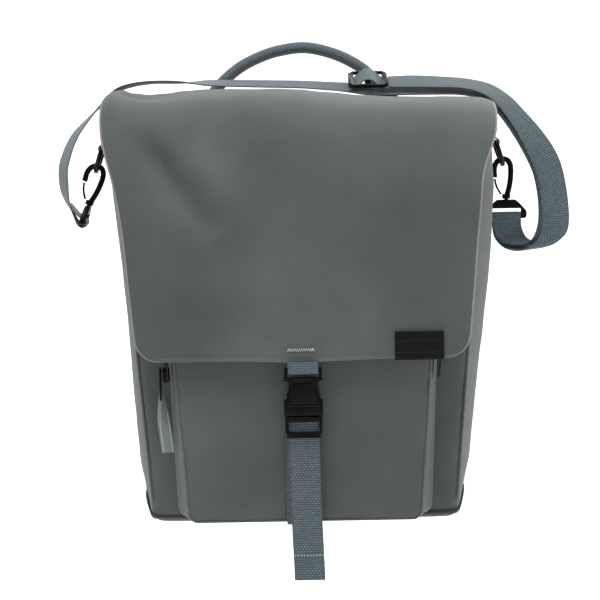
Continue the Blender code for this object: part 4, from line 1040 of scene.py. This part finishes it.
socket_low, socket_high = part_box("buckle_socket")
SOCKET_FOOT, SOCKET_TOP = socket_low.z - ground, socket_high.z - ground
SLOT_FOOT, BAR_FOOT = 0.1323, SOCKET_TOP - 0.0032
SOCKET_HALF, PLUG_HALF = 0.01575, 0.0150
PAST = 0.01                  # how far a cut runs on beyond the piece
PROUD = 0.003                # how far a joined panel reaches back into it
front, back = BUCKLE_Y - 0.0044, BUCKLE_Y + 0.0044
socket = block("buckle_socket_body", (-SOCKET_HALF, front + 0.0006, SOCKET_FOOT),
               (SOCKET_HALF, back, SLOT_FOOT + 0.001), 0.0011)
for side in (-1, 1):
    scoop = block("scoop", (side * 0.0108, front - PAST, 0.1150), (side * 0.0300, back + PAST, 0.1312),
                  0.0034, 5)
    carve(socket, outwards(scoop))
    ear = block("ear", (side * 0.0129, BUCKLE_Y - 0.0022, SLOT_FOOT - 0.001),
                (side * 0.0152, BUCKLE_Y + 0.0022, SOCKET_TOP), 0.0007)
    carve(socket, outwards(ear), "UNION")
for name, low, high, bevel in (
        ("top_bar", (-0.0140, BUCKLE_Y - 0.0016, BAR_FOOT), (0.0140, BUCKLE_Y + 0.0016, SOCKET_TOP), 0.0007),
        ("raised_panel", (-0.0094, front - 0.0001, SOCKET_FOOT + 0.0105),
         (0.0094, front + PROUD, SLOT_FOOT - 0.0006), 0.0009),
        ("foot_band", (-0.0150, front - 0.0002, SOCKET_FOOT + 0.0006),
         (0.0150, front + PROUD, SOCKET_FOOT + 0.0085), 0.0009)):
    carve(socket, block(name, low, high, bevel), "UNION")
hollow = block("hollow", (-0.01405, BUCKLE_Y - 0.0027, SOCKET_FOOT - PAST),
               (0.01405, BUCKLE_Y + 0.0027, SLOT_FOOT - 0.0028))
carve(socket, hollow)
finish_hard(socket, "flap_front", black_acetal, "acetal", "buckle_socket", edge=0.00025)

plug_low, plug_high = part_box("buckle_plug")
PLUG_FOOT, PLUG_TOP = plug_low.z - ground, plug_high.z - ground
plug = block("buckle_plug_body", (-PLUG_HALF, front, PLUG_FOOT), (PLUG_HALF, back, PLUG_TOP), 0.0016)
for side in (-1, 1):
    slim = block("slim", (side * 0.0138, front - PAST, PLUG_FOOT - PAST),
                 (side * 0.03, back + PAST, PLUG_FOOT + 0.0050), 0.002)
    carve(plug, outwards(slim))
WINDOW_HALF = 0.0130         # the strap's half width and half a millimetre
carve(plug, block("window", (-WINDOW_HALF, front - PAST, PLUG_FOOT + 0.0050),
                  (WINDOW_HALF, back + PAST, PLUG_TOP - 0.0042), 0.0007))
carve(plug, block("channel", (-WINDOW_HALF, BUCKLE_Y - 0.0018, PLUG_FOOT - PAST),
                  (WINDOW_HALF, back + PAST, PLUG_FOOT + 0.006)))
for k in range(4):
    z = PLUG_FOOT + 0.0009 + 0.0011 * k
    grip_rib = block("grip_rib", (-0.0115, front - 0.0004, z), (0.0115, front + 0.001, z + 0.0006), 0.0002, 2)
    carve(plug, grip_rib, "UNION")
rung = block("rung", (-0.0140, BUCKLE_Y + 0.0006, PLUG_FOOT + 0.0080),
             (0.0140, BUCKLE_Y + 0.0034, PLUG_FOOT + 0.0112), 0.0008)
carve(plug, rung, "UNION")
finish_hard(plug, "buckle_plug", black_acetal, "acetal", "buckle_plug", edge=0.0002)
for name in ("left", "right"):
    softened("buckle_spring_arm_" + name, "buckle_arm_" + name, "arm_" + name, black_acetal, 0.0007)


# ------------------------------------------------------------------------------------------
# Carry handle.  Webbing folded round a soft core and sewn shut, which gives a firm oval grip.
# Each end is pressed flat under a webbing tab, box-stitched to the top of the back wall.
# ------------------------------------------------------------------------------------------
handle_webbing = webbing_material("folded_polyester_webbing", "#363f43", "#505b5f", "#5e6a6f", 0.0172)
HANDLE_KEYS = [
    (-0.0770, 0.0660, 0.3440), (-0.0772, 0.0672, 0.3520), (-0.0745, 0.0690, 0.3600),
    (-0.0640, 0.0737, 0.3718), (-0.0490, 0.0783, 0.3833), (-0.0310, 0.0818, 0.3918),
    (-0.0140, 0.0838, 0.3966), (0.0080, 0.0844, 0.3985), (0.0320, 0.0821, 0.3928),
    (0.0520, 0.0782, 0.3830), (0.0650, 0.0740, 0.3722), (0.0745, 0.0690, 0.3600),
    (0.0772, 0.0672, 0.3520), (0.0770, 0.0660, 0.3440)]
handle_path = [at(*point) for point in smooth_run(HANDLE_KEYS, 6)]


def grip_radius(part):
    """Full in the hand, and pinched thin where the ends are sewn down."""
    return share(0.0026, 0.0051, min(1.0, min(part, 1 - part) / 0.11) ** 0.7)


handle = rope("carry_handle_grip", handle_path, grip_radius, 20, squash=1.18)
handle.data.materials.append(handle_webbing)
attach(handle, "handle")
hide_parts("carry_handle")

for side, name in ((-1, "left"), (1, "right")):
    tab_low, tab_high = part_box("handle_tab_" + name)
    tab_x = (tab_low.x + tab_high.x) / 2
    tab_y = tab_high.y - middle - 0.0008
    low, high = tab_low.z - ground, tab_high.z - ground
    keys = [((tab_x - 0.011, tab_y, z), (tab_x + 0.011, tab_y, z)) for z in (low, (low + high) / 2, high)]
    rings, lengths_along = band_rings(keys, 5)
    tab = band(f"handle_tab_{name}_webbing", rings, lengths_along, width=0.022)
    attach(tab, "bag")
    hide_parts("handle_tab_" + name)
    frame_x, face = 0.0085, tab_y + 0.0009
    corners = [at(tab_x - frame_x, face, low + 0.0025), at(tab_x + frame_x, face, low + 0.0025),
               at(tab_x + frame_x, face, high - 0.0025), at(tab_x - frame_x, face, high - 0.0025)]
    stitch_line(f"handle_tab_{name}_stitches", corners + [corners[0], corners[2]], "bag", pitch=0.0024)


# ------------------------------------------------------------------------------------------
# Shoulder strap.  The same 25 mm webbing.  It runs from the left clip over the bag's top to
# the slider, and on, doubled, to the right clip, where it loops round the swivel's bar.  It
# lies nearly on edge and twists on its way down each side.
# ------------------------------------------------------------------------------------------
def centred(line):
    """Keys from centres and half-width vectors."""
    return [(tuple(Vector(c) - Vector(h)), tuple(Vector(c) + Vector(h))) for c, h in line]


LEFT_STRAP = centred([
    ((-0.2012, 0.0462, 0.2660), (-0.0010, 0.0118, 0.0)), ((-0.1958, 0.0460, 0.2582), (0.0, 0.0124, 0.0)),
    ((-0.1908, 0.0460, 0.2536), (0.0, 0.0124, 0.0)), ((-0.1872, 0.0460, 0.2512), (0.0, 0.0124, 0.0)),
    ((-0.1876, 0.0460, 0.2474), (0.0, 0.0124, 0.0)), ((-0.1912, 0.0460, 0.2460), (0.0, 0.0124, 0.0)),
    ((-0.1946, 0.0460, 0.2486), (0.0, 0.0124, 0.0)), ((-0.1985, 0.0462, 0.2560), (-0.0010, 0.0122, 0.0)),
    ((-0.2045, 0.0466, 0.2690), (-0.0035, 0.0118, 0.0)), ((-0.2068, 0.0470, 0.2826), (-0.0050, 0.0112, 0.0)),
    ((-0.2062, 0.0470, 0.3000), (-0.0048, 0.0112, 0.0015)),
    ((-0.1975, 0.0470, 0.3222), (-0.0036, 0.0118, 0.0015)),
    ((-0.1850, 0.0470, 0.3381), (-0.0018, 0.0122, 0.0008)),
    ((-0.1715, 0.0470, 0.3518), (-0.0005, 0.0124, -0.0008)),
    ((-0.1585, 0.0470, 0.3636), (0.0, 0.0124, -0.0015)), ((-0.1440, 0.0470, 0.3686), (0.0, 0.0124, -0.0015)),
    ((-0.1260, 0.0470, 0.3706), (0.0, 0.0124, -0.0012)), ((-0.1057, 0.0470, 0.3703), (0.0, 0.0124, -0.0010)),
    ((-0.0913, 0.0470, 0.3697), (0.0, 0.0124, 0.0005)), ((-0.0769, 0.0470, 0.3692), (0.0, 0.0122, 0.0022)),
    ((-0.0400, 0.0470, 0.3680), (0.0, 0.0122, 0.0027)), ((0.0, 0.0470, 0.3667), (0.0, 0.0121, 0.0029)),
    ((0.0270, 0.0470, 0.3648), (0.0, 0.0120, 0.0032)), ((0.0440, 0.0470, 0.3632), (0.0, 0.0118, 0.0038)),
    ((0.0600, 0.0470, 0.3614), (0.0, 0.0116, 0.0044)), ((0.0840, 0.0470, 0.3608), (0.0, 0.0116, 0.0045))])
RIGHT_STRAP = [
    ((0.0790, 0.0362, 0.3632), (0.0790, 0.0580, 0.3718)),
    ((0.1002, 0.0356, 0.3626), (0.1002, 0.0580, 0.3724)),
    ((0.1200, 0.0350, 0.3622), (0.1228, 0.0578, 0.3712)),
    ((0.1401, 0.0340, 0.3613), (0.1486, 0.0570, 0.3688)),
    ((0.1560, 0.0325, 0.3576), (0.1700, 0.0545, 0.3632)),
    ((0.1686, 0.0312, 0.3500), (0.1862, 0.0510, 0.3522)),
    ((0.1805, 0.0302, 0.3357), (0.1955, 0.0450, 0.3420)),
    ((0.1917, 0.0300, 0.3174), (0.2085, 0.0395, 0.3270)),
    ((0.2005, 0.0300, 0.2990), (0.2205, 0.0355, 0.3100)),
    ((0.2060, 0.0300, 0.2850), (0.2278, 0.0340, 0.2940)),
    ((0.2096, 0.0300, 0.2660), (0.2325, 0.0335, 0.2720)),
    ((0.2106, 0.0300, 0.2480), (0.2346, 0.0330, 0.2490)),
    ((0.2085, 0.0295, 0.2330), (0.2325, 0.0322, 0.2350)),
    ((0.2010, 0.0290, 0.2240), (0.2240, 0.0320, 0.2262)),
    ((0.1935, 0.0320, 0.2198), (0.2150, 0.0345, 0.2222)),
    ((0.1850, 0.0395, 0.2190), (0.2085, 0.0410, 0.2212)),
    ((0.1765, 0.0465, 0.2225), (0.2015, 0.0475, 0.2240)),
    ((0.1708, 0.0497, 0.2300), (0.1958, 0.0500, 0.2310)),
    ((0.1690, 0.0500, 0.2400), (0.1940, 0.0500, 0.2400)),
    ((0.1687, 0.0496, 0.2480), (0.1937, 0.0496, 0.2480)),
    ((0.1687, 0.0480, 0.2511), (0.1937, 0.0480, 0.2511)),
    ((0.1687, 0.0460, 0.2517), (0.1937, 0.0460, 0.2517)),
    ((0.1687, 0.0438, 0.2508), (0.1937, 0.0438, 0.2508)),
    ((0.1687, 0.0424, 0.2470), (0.1937, 0.0424, 0.2470)),
    ((0.1692, 0.0425, 0.2390), (0.1942, 0.0428, 0.2390)),
    ((0.1740, 0.0440, 0.2290), (0.1985, 0.0445, 0.2300)),
    ((0.1835, 0.0410, 0.2238), (0.2065, 0.0420, 0.2255)),
    ((0.1935, 0.0355, 0.2242), (0.2150, 0.0372, 0.2262)),
    ((0.2010, 0.0325, 0.2280), (0.2230, 0.0352, 0.2305)),
    ((0.2058, 0.0325, 0.2370), (0.2285, 0.0354, 0.2390)),
    ((0.2078, 0.0326, 0.2500), (0.2306, 0.0356, 0.2520)),
    ((0.2068, 0.0326, 0.2680), (0.2290, 0.0360, 0.2735)),
    ((0.2032, 0.0326, 0.2860), (0.2240, 0.0366, 0.2950)),
    ((0.1974, 0.0326, 0.2995), (0.2168, 0.0381, 0.3108)),
    ((0.1886, 0.0326, 0.3160), (0.2045, 0.0420, 0.3262)),
    ((0.1775, 0.0328, 0.3330), (0.1915, 0.0474, 0.3398)),
    ((0.1668, 0.0335, 0.3455), (0.1820, 0.0530, 0.3482)),
    ((0.1560, 0.0345, 0.3524), (0.1680, 0.0560, 0.3584)),
    ((0.1401, 0.0356, 0.3556), (0.1460, 0.0578, 0.3632)),
    ((0.1200, 0.0360, 0.3562), (0.1215, 0.0580, 0.3648)),
    ((0.0840, 0.0354, 0.3563), (0.0840, 0.0586, 0.3653))]
KEY_STEPS = 6


def strap_run(name, keys, stretches):
    """Makes a strap's stretches as (first key, last key, (upper body, lower body, start, end))."""
    strap_rings, strap_lengths = band_rings(keys, KEY_STEPS)
    made = []
    for number, (first, last, bodies) in enumerate(stretches, start=1):
        piece = band(f"{name}_{number}", strap_rings, strap_lengths, first * KEY_STEPS, last * KEY_STEPS)
        if len(bodies) == 1:
            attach(piece, bodies[0])
        else:
            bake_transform(piece)
        made.append(piece)
    return made


left_stretches = strap_run("shoulder_strap_left", LEFT_STRAP, (
    (0, 8, ("hook_left", "swivel_left", (-0.2045, 0.047, 0.2690), (-0.1970, 0.047, 0.2560))),
    (8, 9, ("ring_left", "hook_left", (-0.2068, 0.047, 0.2826), (-0.2045, 0.047, 0.2690))),
    (9, 10, ("bag", "ring_left", (-0.2062, 0.047, 0.3000), (-0.2068, 0.047, 0.2826))),
    (10, 25, ("bag",))))
strap_run("shoulder_strap_right", RIGHT_STRAP, (
    (0, 8, ("bag",)),
    (8, 10, ("bag", "ring_right", (0.210, 0.033, 0.3045), (0.221, 0.033, 0.2690))),
    (10, 12, ("ring_right", "hook_right", (0.221, 0.033, 0.2690), (0.2205, 0.032, 0.2340))),
    (12, 29, ("hook_right", "swivel_right", (0.2205, 0.032, 0.2340), (0.1830, 0.048, 0.2400))),
    (29, 31, ("ring_right", "hook_right", (0.218, 0.034, 0.2705), (0.2172, 0.034, 0.2380))),
    (31, 33, ("bag", "ring_right", (0.2071, 0.035, 0.3050), (0.218, 0.034, 0.2705))),
    (33, 40, ("bag",))))
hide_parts("shoulder_strap")

# The hump of webbing over the slider's middle bar moves with the slider.
HUMP = [(0.0440, 0.3655), (0.0492, 0.3672), (0.0530, 0.3702), (0.0572, 0.3737), (0.0610, 0.3746),
        (0.0648, 0.3737), (0.0690, 0.3702), (0.0728, 0.3672), (0.0795, 0.3662)]
hump_keys = centred([((x, 0.047, z), (0.0, 0.0112, 0.0048)) for x, z in HUMP])
rings, lengths_along = band_rings(hump_keys, 4, 0.0013)
hump = band("slider_webbing_hump", rings, lengths_along)
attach(hump, "strap_slider")


# ------------------------------------------------------------------------------------------
# Strap slider.  A polished three-bar slide, moulded in brown-black acetal.
# ------------------------------------------------------------------------------------------
polished_acetal = moulded_plastic("polished_brown_black_acetal", "#120e0d", "#2a211d", 0.20)
softened("strap_slider_frame", "strap_slider", "strap_slider", polished_acetal, 0.0011)


# ------------------------------------------------------------------------------------------
# Clips.  A black-coated wire D-ring hangs in a pale webbing tab on each gusset.  Each holds a
# moulded snap hook with a thin sprung gate, and a swivel that carries the strap.
# ------------------------------------------------------------------------------------------
def rod(name, path, radius, closed=False, flatten=1.0):
    """A round rod bent along a path.  flatten makes it deeper than it is wide, front to rear."""
    bpy.ops.object.select_all(action="DESELECT")
    line = bpy.data.curves.new(name, "CURVE")
    line.dimensions = "3D"
    line.bevel_depth = radius
    line.bevel_resolution = 4
    line.use_fill_caps = not closed
    spline = line.splines.new("POLY")
    spline.points.add(len(path) - 1)
    for point, place in zip(spline.points, path):
        point.co = (*place, 1.0)
    spline.use_cyclic_u = closed
    piece = bpy.data.objects.new(name, line)
    bpy.context.scene.collection.objects.link(piece)
    piece.select_set(True)
    bpy.context.view_layer.objects.active = piece
    bpy.ops.object.convert(target="MESH")
    piece = outwards(bpy.context.object)
    if flatten != 1.0:
        centre_y = path[0].y
        for vertex in piece.data.vertices:
            vertex.co.y = centre_y + (vertex.co.y - centre_y) * flatten
    piece.data.shade_smooth()
    return piece


coated_steel, tree, shader = new_material("black_coated_steel_wire", 0.34, Specular_IOR_Level=0.18)
place = node(tree, "ShaderNodeTexCoord")
peel = node(tree, "ShaderNodeTexNoise", {"Vector": (place, "Object")}, {"Scale": 260.0, "Detail": 3.0})
tone = node(tree, "ShaderNodeValToRGB", {"Fac": (peel, "Fac")}, stops=((0.35, "#050505"), (0.8, "#0e0e0e")))
tree.links.new(tone.outputs["Color"], shader.inputs["Base Color"])
bump = node(tree, "ShaderNodeBump", {"Height": (peel, "Fac")}, {"Strength": 0.1, "Distance": 0.0002})
tree.links.new(bump.outputs["Normal"], shader.inputs["Normal"])
tab_webbing = webbing_material("pale_grey_polyester_webbing", "#5a6264", "#717a7c", "#8d9697", 0.010)

# A hook's outline, from its nose over its top and down to its shank, from the ring's lowest point.
HOOK_CURVE = [
    (-0.0068, -0.0104), (-0.0073, -0.0050), (-0.0062, 0.0), (-0.0034, 0.0036), (0.0003, 0.0049),
    (0.0042, 0.0037), (0.0066, 0.0002), (0.0073, -0.0050), (0.0070, -0.0120), (0.0060, -0.0190),
    (0.0045, -0.0250), (0.0034, -0.0285)]
SHANK_X = 0.0032             # the shank, collar and pin stand this far outside the ring
RING_BAR_X, RING_BAR_Z = 0.1715, 0.314      # the ring's straight bar, in its tab
CLIP_Y = 0.046
RING_DROP = 0.0210
RING_TILT = radians(18)
for side, name, hook_tilt in ((-1, "left", radians(20)), (1, "right", 0.0)):
    ring_path = []
    for k in range(33):
        turn = pi * k / 32
        drop = RING_DROP * sin(turn) ** 0.8
        reach_y = 0.0130 * (1 if cos(turn) > 0 else -1) * abs(cos(turn)) ** 0.85
        ring_path.append(at(side * (RING_BAR_X + drop * sin(RING_TILT)), CLIP_Y + reach_y,
                            RING_BAR_Z - drop * cos(RING_TILT)))
    ring = rod("d_ring_wire_" + name, ring_path, 0.0020, closed=True)
    ring.data.materials.append(coated_steel)
    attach(ring, "ring_" + name)
    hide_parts("d_ring_" + name)

    hook_x = side * (RING_BAR_X + RING_DROP * sin(RING_TILT))
    hook_z = RING_BAR_Z - RING_DROP * cos(RING_TILT)

    def on_hook(x, z, y=0.0):
        """A place on this hook, from its own upright axes."""
        return at(hook_x + x * cos(hook_tilt) + z * sin(hook_tilt), CLIP_Y + y,
                  hook_z - x * sin(hook_tilt) + z * cos(hook_tilt))

    hook_path = [on_hook(x, z) for x, z in smooth_run(HOOK_CURVE, 4)]
    hook = rod("snap_hook_body_" + name, hook_path, 0.0024, flatten=1.05)
    collar = rod("collar", [on_hook(SHANK_X, z) for z in (-0.0262, -0.0300)], 0.0036)
    carve(hook, collar, "UNION")
    pin = rod("pin", [on_hook(SHANK_X, z) for z in (-0.0290, -0.0338)], 0.0017)
    carve(hook, pin, "UNION")
    nose = rod("nose", [on_hook(-0.0069, -0.0094), on_hook(-0.0073, -0.0112)], 0.0024)
    carve(hook, nose, "UNION")
    finish_hard(hook, "hook_" + name, black_acetal, "acetal", "snap_hook_" + name, edge=0.0003, angle=50)

    leaf_rows = []
    for k in range(13):
        t = k / 12
        x, z = share(-0.0014, -0.0068, t) - 0.0011 * sin(pi * t), share(-0.0262, -0.0126, t)
        row = []
        for half_y, off in ((-0.0019, -0.0008), (0.0019, -0.0008), (0.0019, 0.0008), (-0.0019, 0.0008)):
            row.append(on_hook(x + off * 0.93, z + off * 0.37, half_y))
        leaf_rows.append(row)
    for end in (0, -1):
        centre = sum(leaf_rows[end], Vector()) / 4
        cap = [centre.lerp(point, 0.02) for point in leaf_rows[end]]
        leaf_rows.insert(0 if end == 0 else len(leaf_rows), cap)
    gate = outwards(cloth_mesh("gate_leaf_" + name, leaf_rows, closed=True))
    finish_hard(gate, "gate_" + name, black_acetal, "acetal", "hook_gate_" + name, edge=0.0003)
    softened("strap_swivel_body_" + name, "strap_swivel_" + name, "swivel_" + name, black_acetal, 0.0011)

    eye = [(0.1650, 0.3320), (0.1664, 0.3270), (0.1700, 0.3196)]
    eye += [(RING_BAR_X + 0.0031 * cos(radians(a)), RING_BAR_Z + 0.0031 * sin(radians(a)))
            for a in range(70, -170, -30)]
    eye += [(0.1668, 0.3165), (0.1656, 0.3220)]
    keys = [((side * x, 0.0362, z), (side * x, 0.0558, z)) for x, z in eye]
    rings, lengths_along = band_rings(keys, 3, 0.0013)
    tab = band(f"ring_tab_{name}_webbing", rings, lengths_along, width=0.020)
    tab.data.materials[0] = tab_webbing
    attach(tab, "bag")
    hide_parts("ring_tab_" + name)
    seam = [at(side * 0.1665, y, 0.3292) for y in (0.0385, 0.0535)]
    stitch_line(f"ring_tab_{name}_stitches", seam, "bag", pitch=0.0022)


# ------------------------------------------------------------------------------------------
# Back hardware.  Two T-section rails of black anodised aluminium are screwed through the back
# wall into its stiffener.  Moulded hooks with sprung latches slide on the upper one, and the
# anchor foot turns on a slide on the lower one.
# ------------------------------------------------------------------------------------------
anodised, tree, shader = new_material("black_anodised_aluminium", 0.36, Metallic=1.0)
place = node(tree, "ShaderNodeTexCoord")
pulled = node(tree, "ShaderNodeMapping", {"Vector": (place, "Object")}, {"Scale": (6.0, 900.0, 900.0)})
draw_lines = node(tree, "ShaderNodeTexNoise", {"Vector": (pulled, "Vector")}, {"Scale": 1.0, "Detail": 3.0})
tone = node(tree, "ShaderNodeValToRGB", {"Fac": (draw_lines, "Fac")},
            stops=((0.3, "#28292b"), (0.7, "#3b3d40")))
tree.links.new(tone.outputs["Color"], shader.inputs["Base Color"])
bump = node(tree, "ShaderNodeBump", {"Height": (draw_lines, "Fac")}, {"Strength": 0.15, "Distance": 0.0001})
tree.links.new(bump.outputs["Normal"], shader.inputs["Normal"])

zinc, tree, shader = new_material("zinc_plated_steel", 0.32, Metallic=1.0)
place = node(tree, "ShaderNodeTexCoord")
spangle = node(tree, "ShaderNodeTexNoise", {"Vector": (place, "Object")}, {"Scale": 420.0, "Detail": 4.0})
tone = node(tree, "ShaderNodeValToRGB", {"Fac": (spangle, "Fac")},
            stops=((0.35, "#9c9fa1"), (0.7, "#c3c5c6")))
tree.links.new(tone.outputs["Color"], shader.inputs["Base Color"])

polyethylene, tree, shader = new_material("black_polyethylene_board", 0.55)
place = node(tree, "ShaderNodeTexCoord")
haircell = node(tree, "ShaderNodeTexVoronoi", {"Vector": (place, "Object")}, {"Scale": 620.0})
tone = node(tree, "ShaderNodeValToRGB", {"Fac": (haircell, "Distance")},
            stops=((0.1, "#1b1b1c"), (0.8, "#29292a")))
tree.links.new(tone.outputs["Color"], shader.inputs["Base Color"])
bump = node(tree, "ShaderNodeBump", {"Height": (haircell, "Distance")}, {"Strength": 0.2, "Distance": 0.0002})
tree.links.new(bump.outputs["Normal"], shader.inputs["Normal"])

for name, screws in (("upper_rail", 3), ("lower_rail", 2)):
    softened(name + "_extrusion", name, "bag", anodised, 0.0004)
    for number in range(1, screws + 1):
        screw = softened(f"{name}_pan_screw_{number}", f"{name}_screw_{number}", "bag", zinc, 0.0005)
        low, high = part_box(f"{name}_screw_{number}")
        bpy.ops.object.select_all(action="DESELECT")
        bpy.ops.mesh.primitive_cylinder_add(vertices=6, radius=0.0016, depth=0.0026, rotation=(pi / 2, 0, 0),
                                            location=((low.x + high.x) / 2, high.y, (low.z + high.z) / 2))
        socket_cut = bpy.context.object
        bpy.ops.object.transform_apply(location=True, rotation=True, scale=True)
        carve(screw, socket_cut)
        softened(f"{name}_hex_nut_{number}", f"{name}_nut_{number}", "bag", zinc, 0.0004)
for name in ("back_board", "base_board"):
    softened(name + "_sheet", name, "bag", polyethylene, 0.0006)
for name in ("left", "right"):
    rack_hook, latch = "rack_hook_" + name, "hook_latch_" + name
    softened("rack_hook_moulding_" + name, rack_hook, rack_hook, black_acetal, 0.0010)
    softened("hook_latch_lever_" + name, latch, "latch_" + name, black_acetal, 0.0006)
softened("anchor_foot_slide", "foot_slide", "foot_slide", black_acetal, 0.0009)
softened("anchor_foot_arm", "anchor_foot", "anchor_foot", black_acetal, 0.0009)
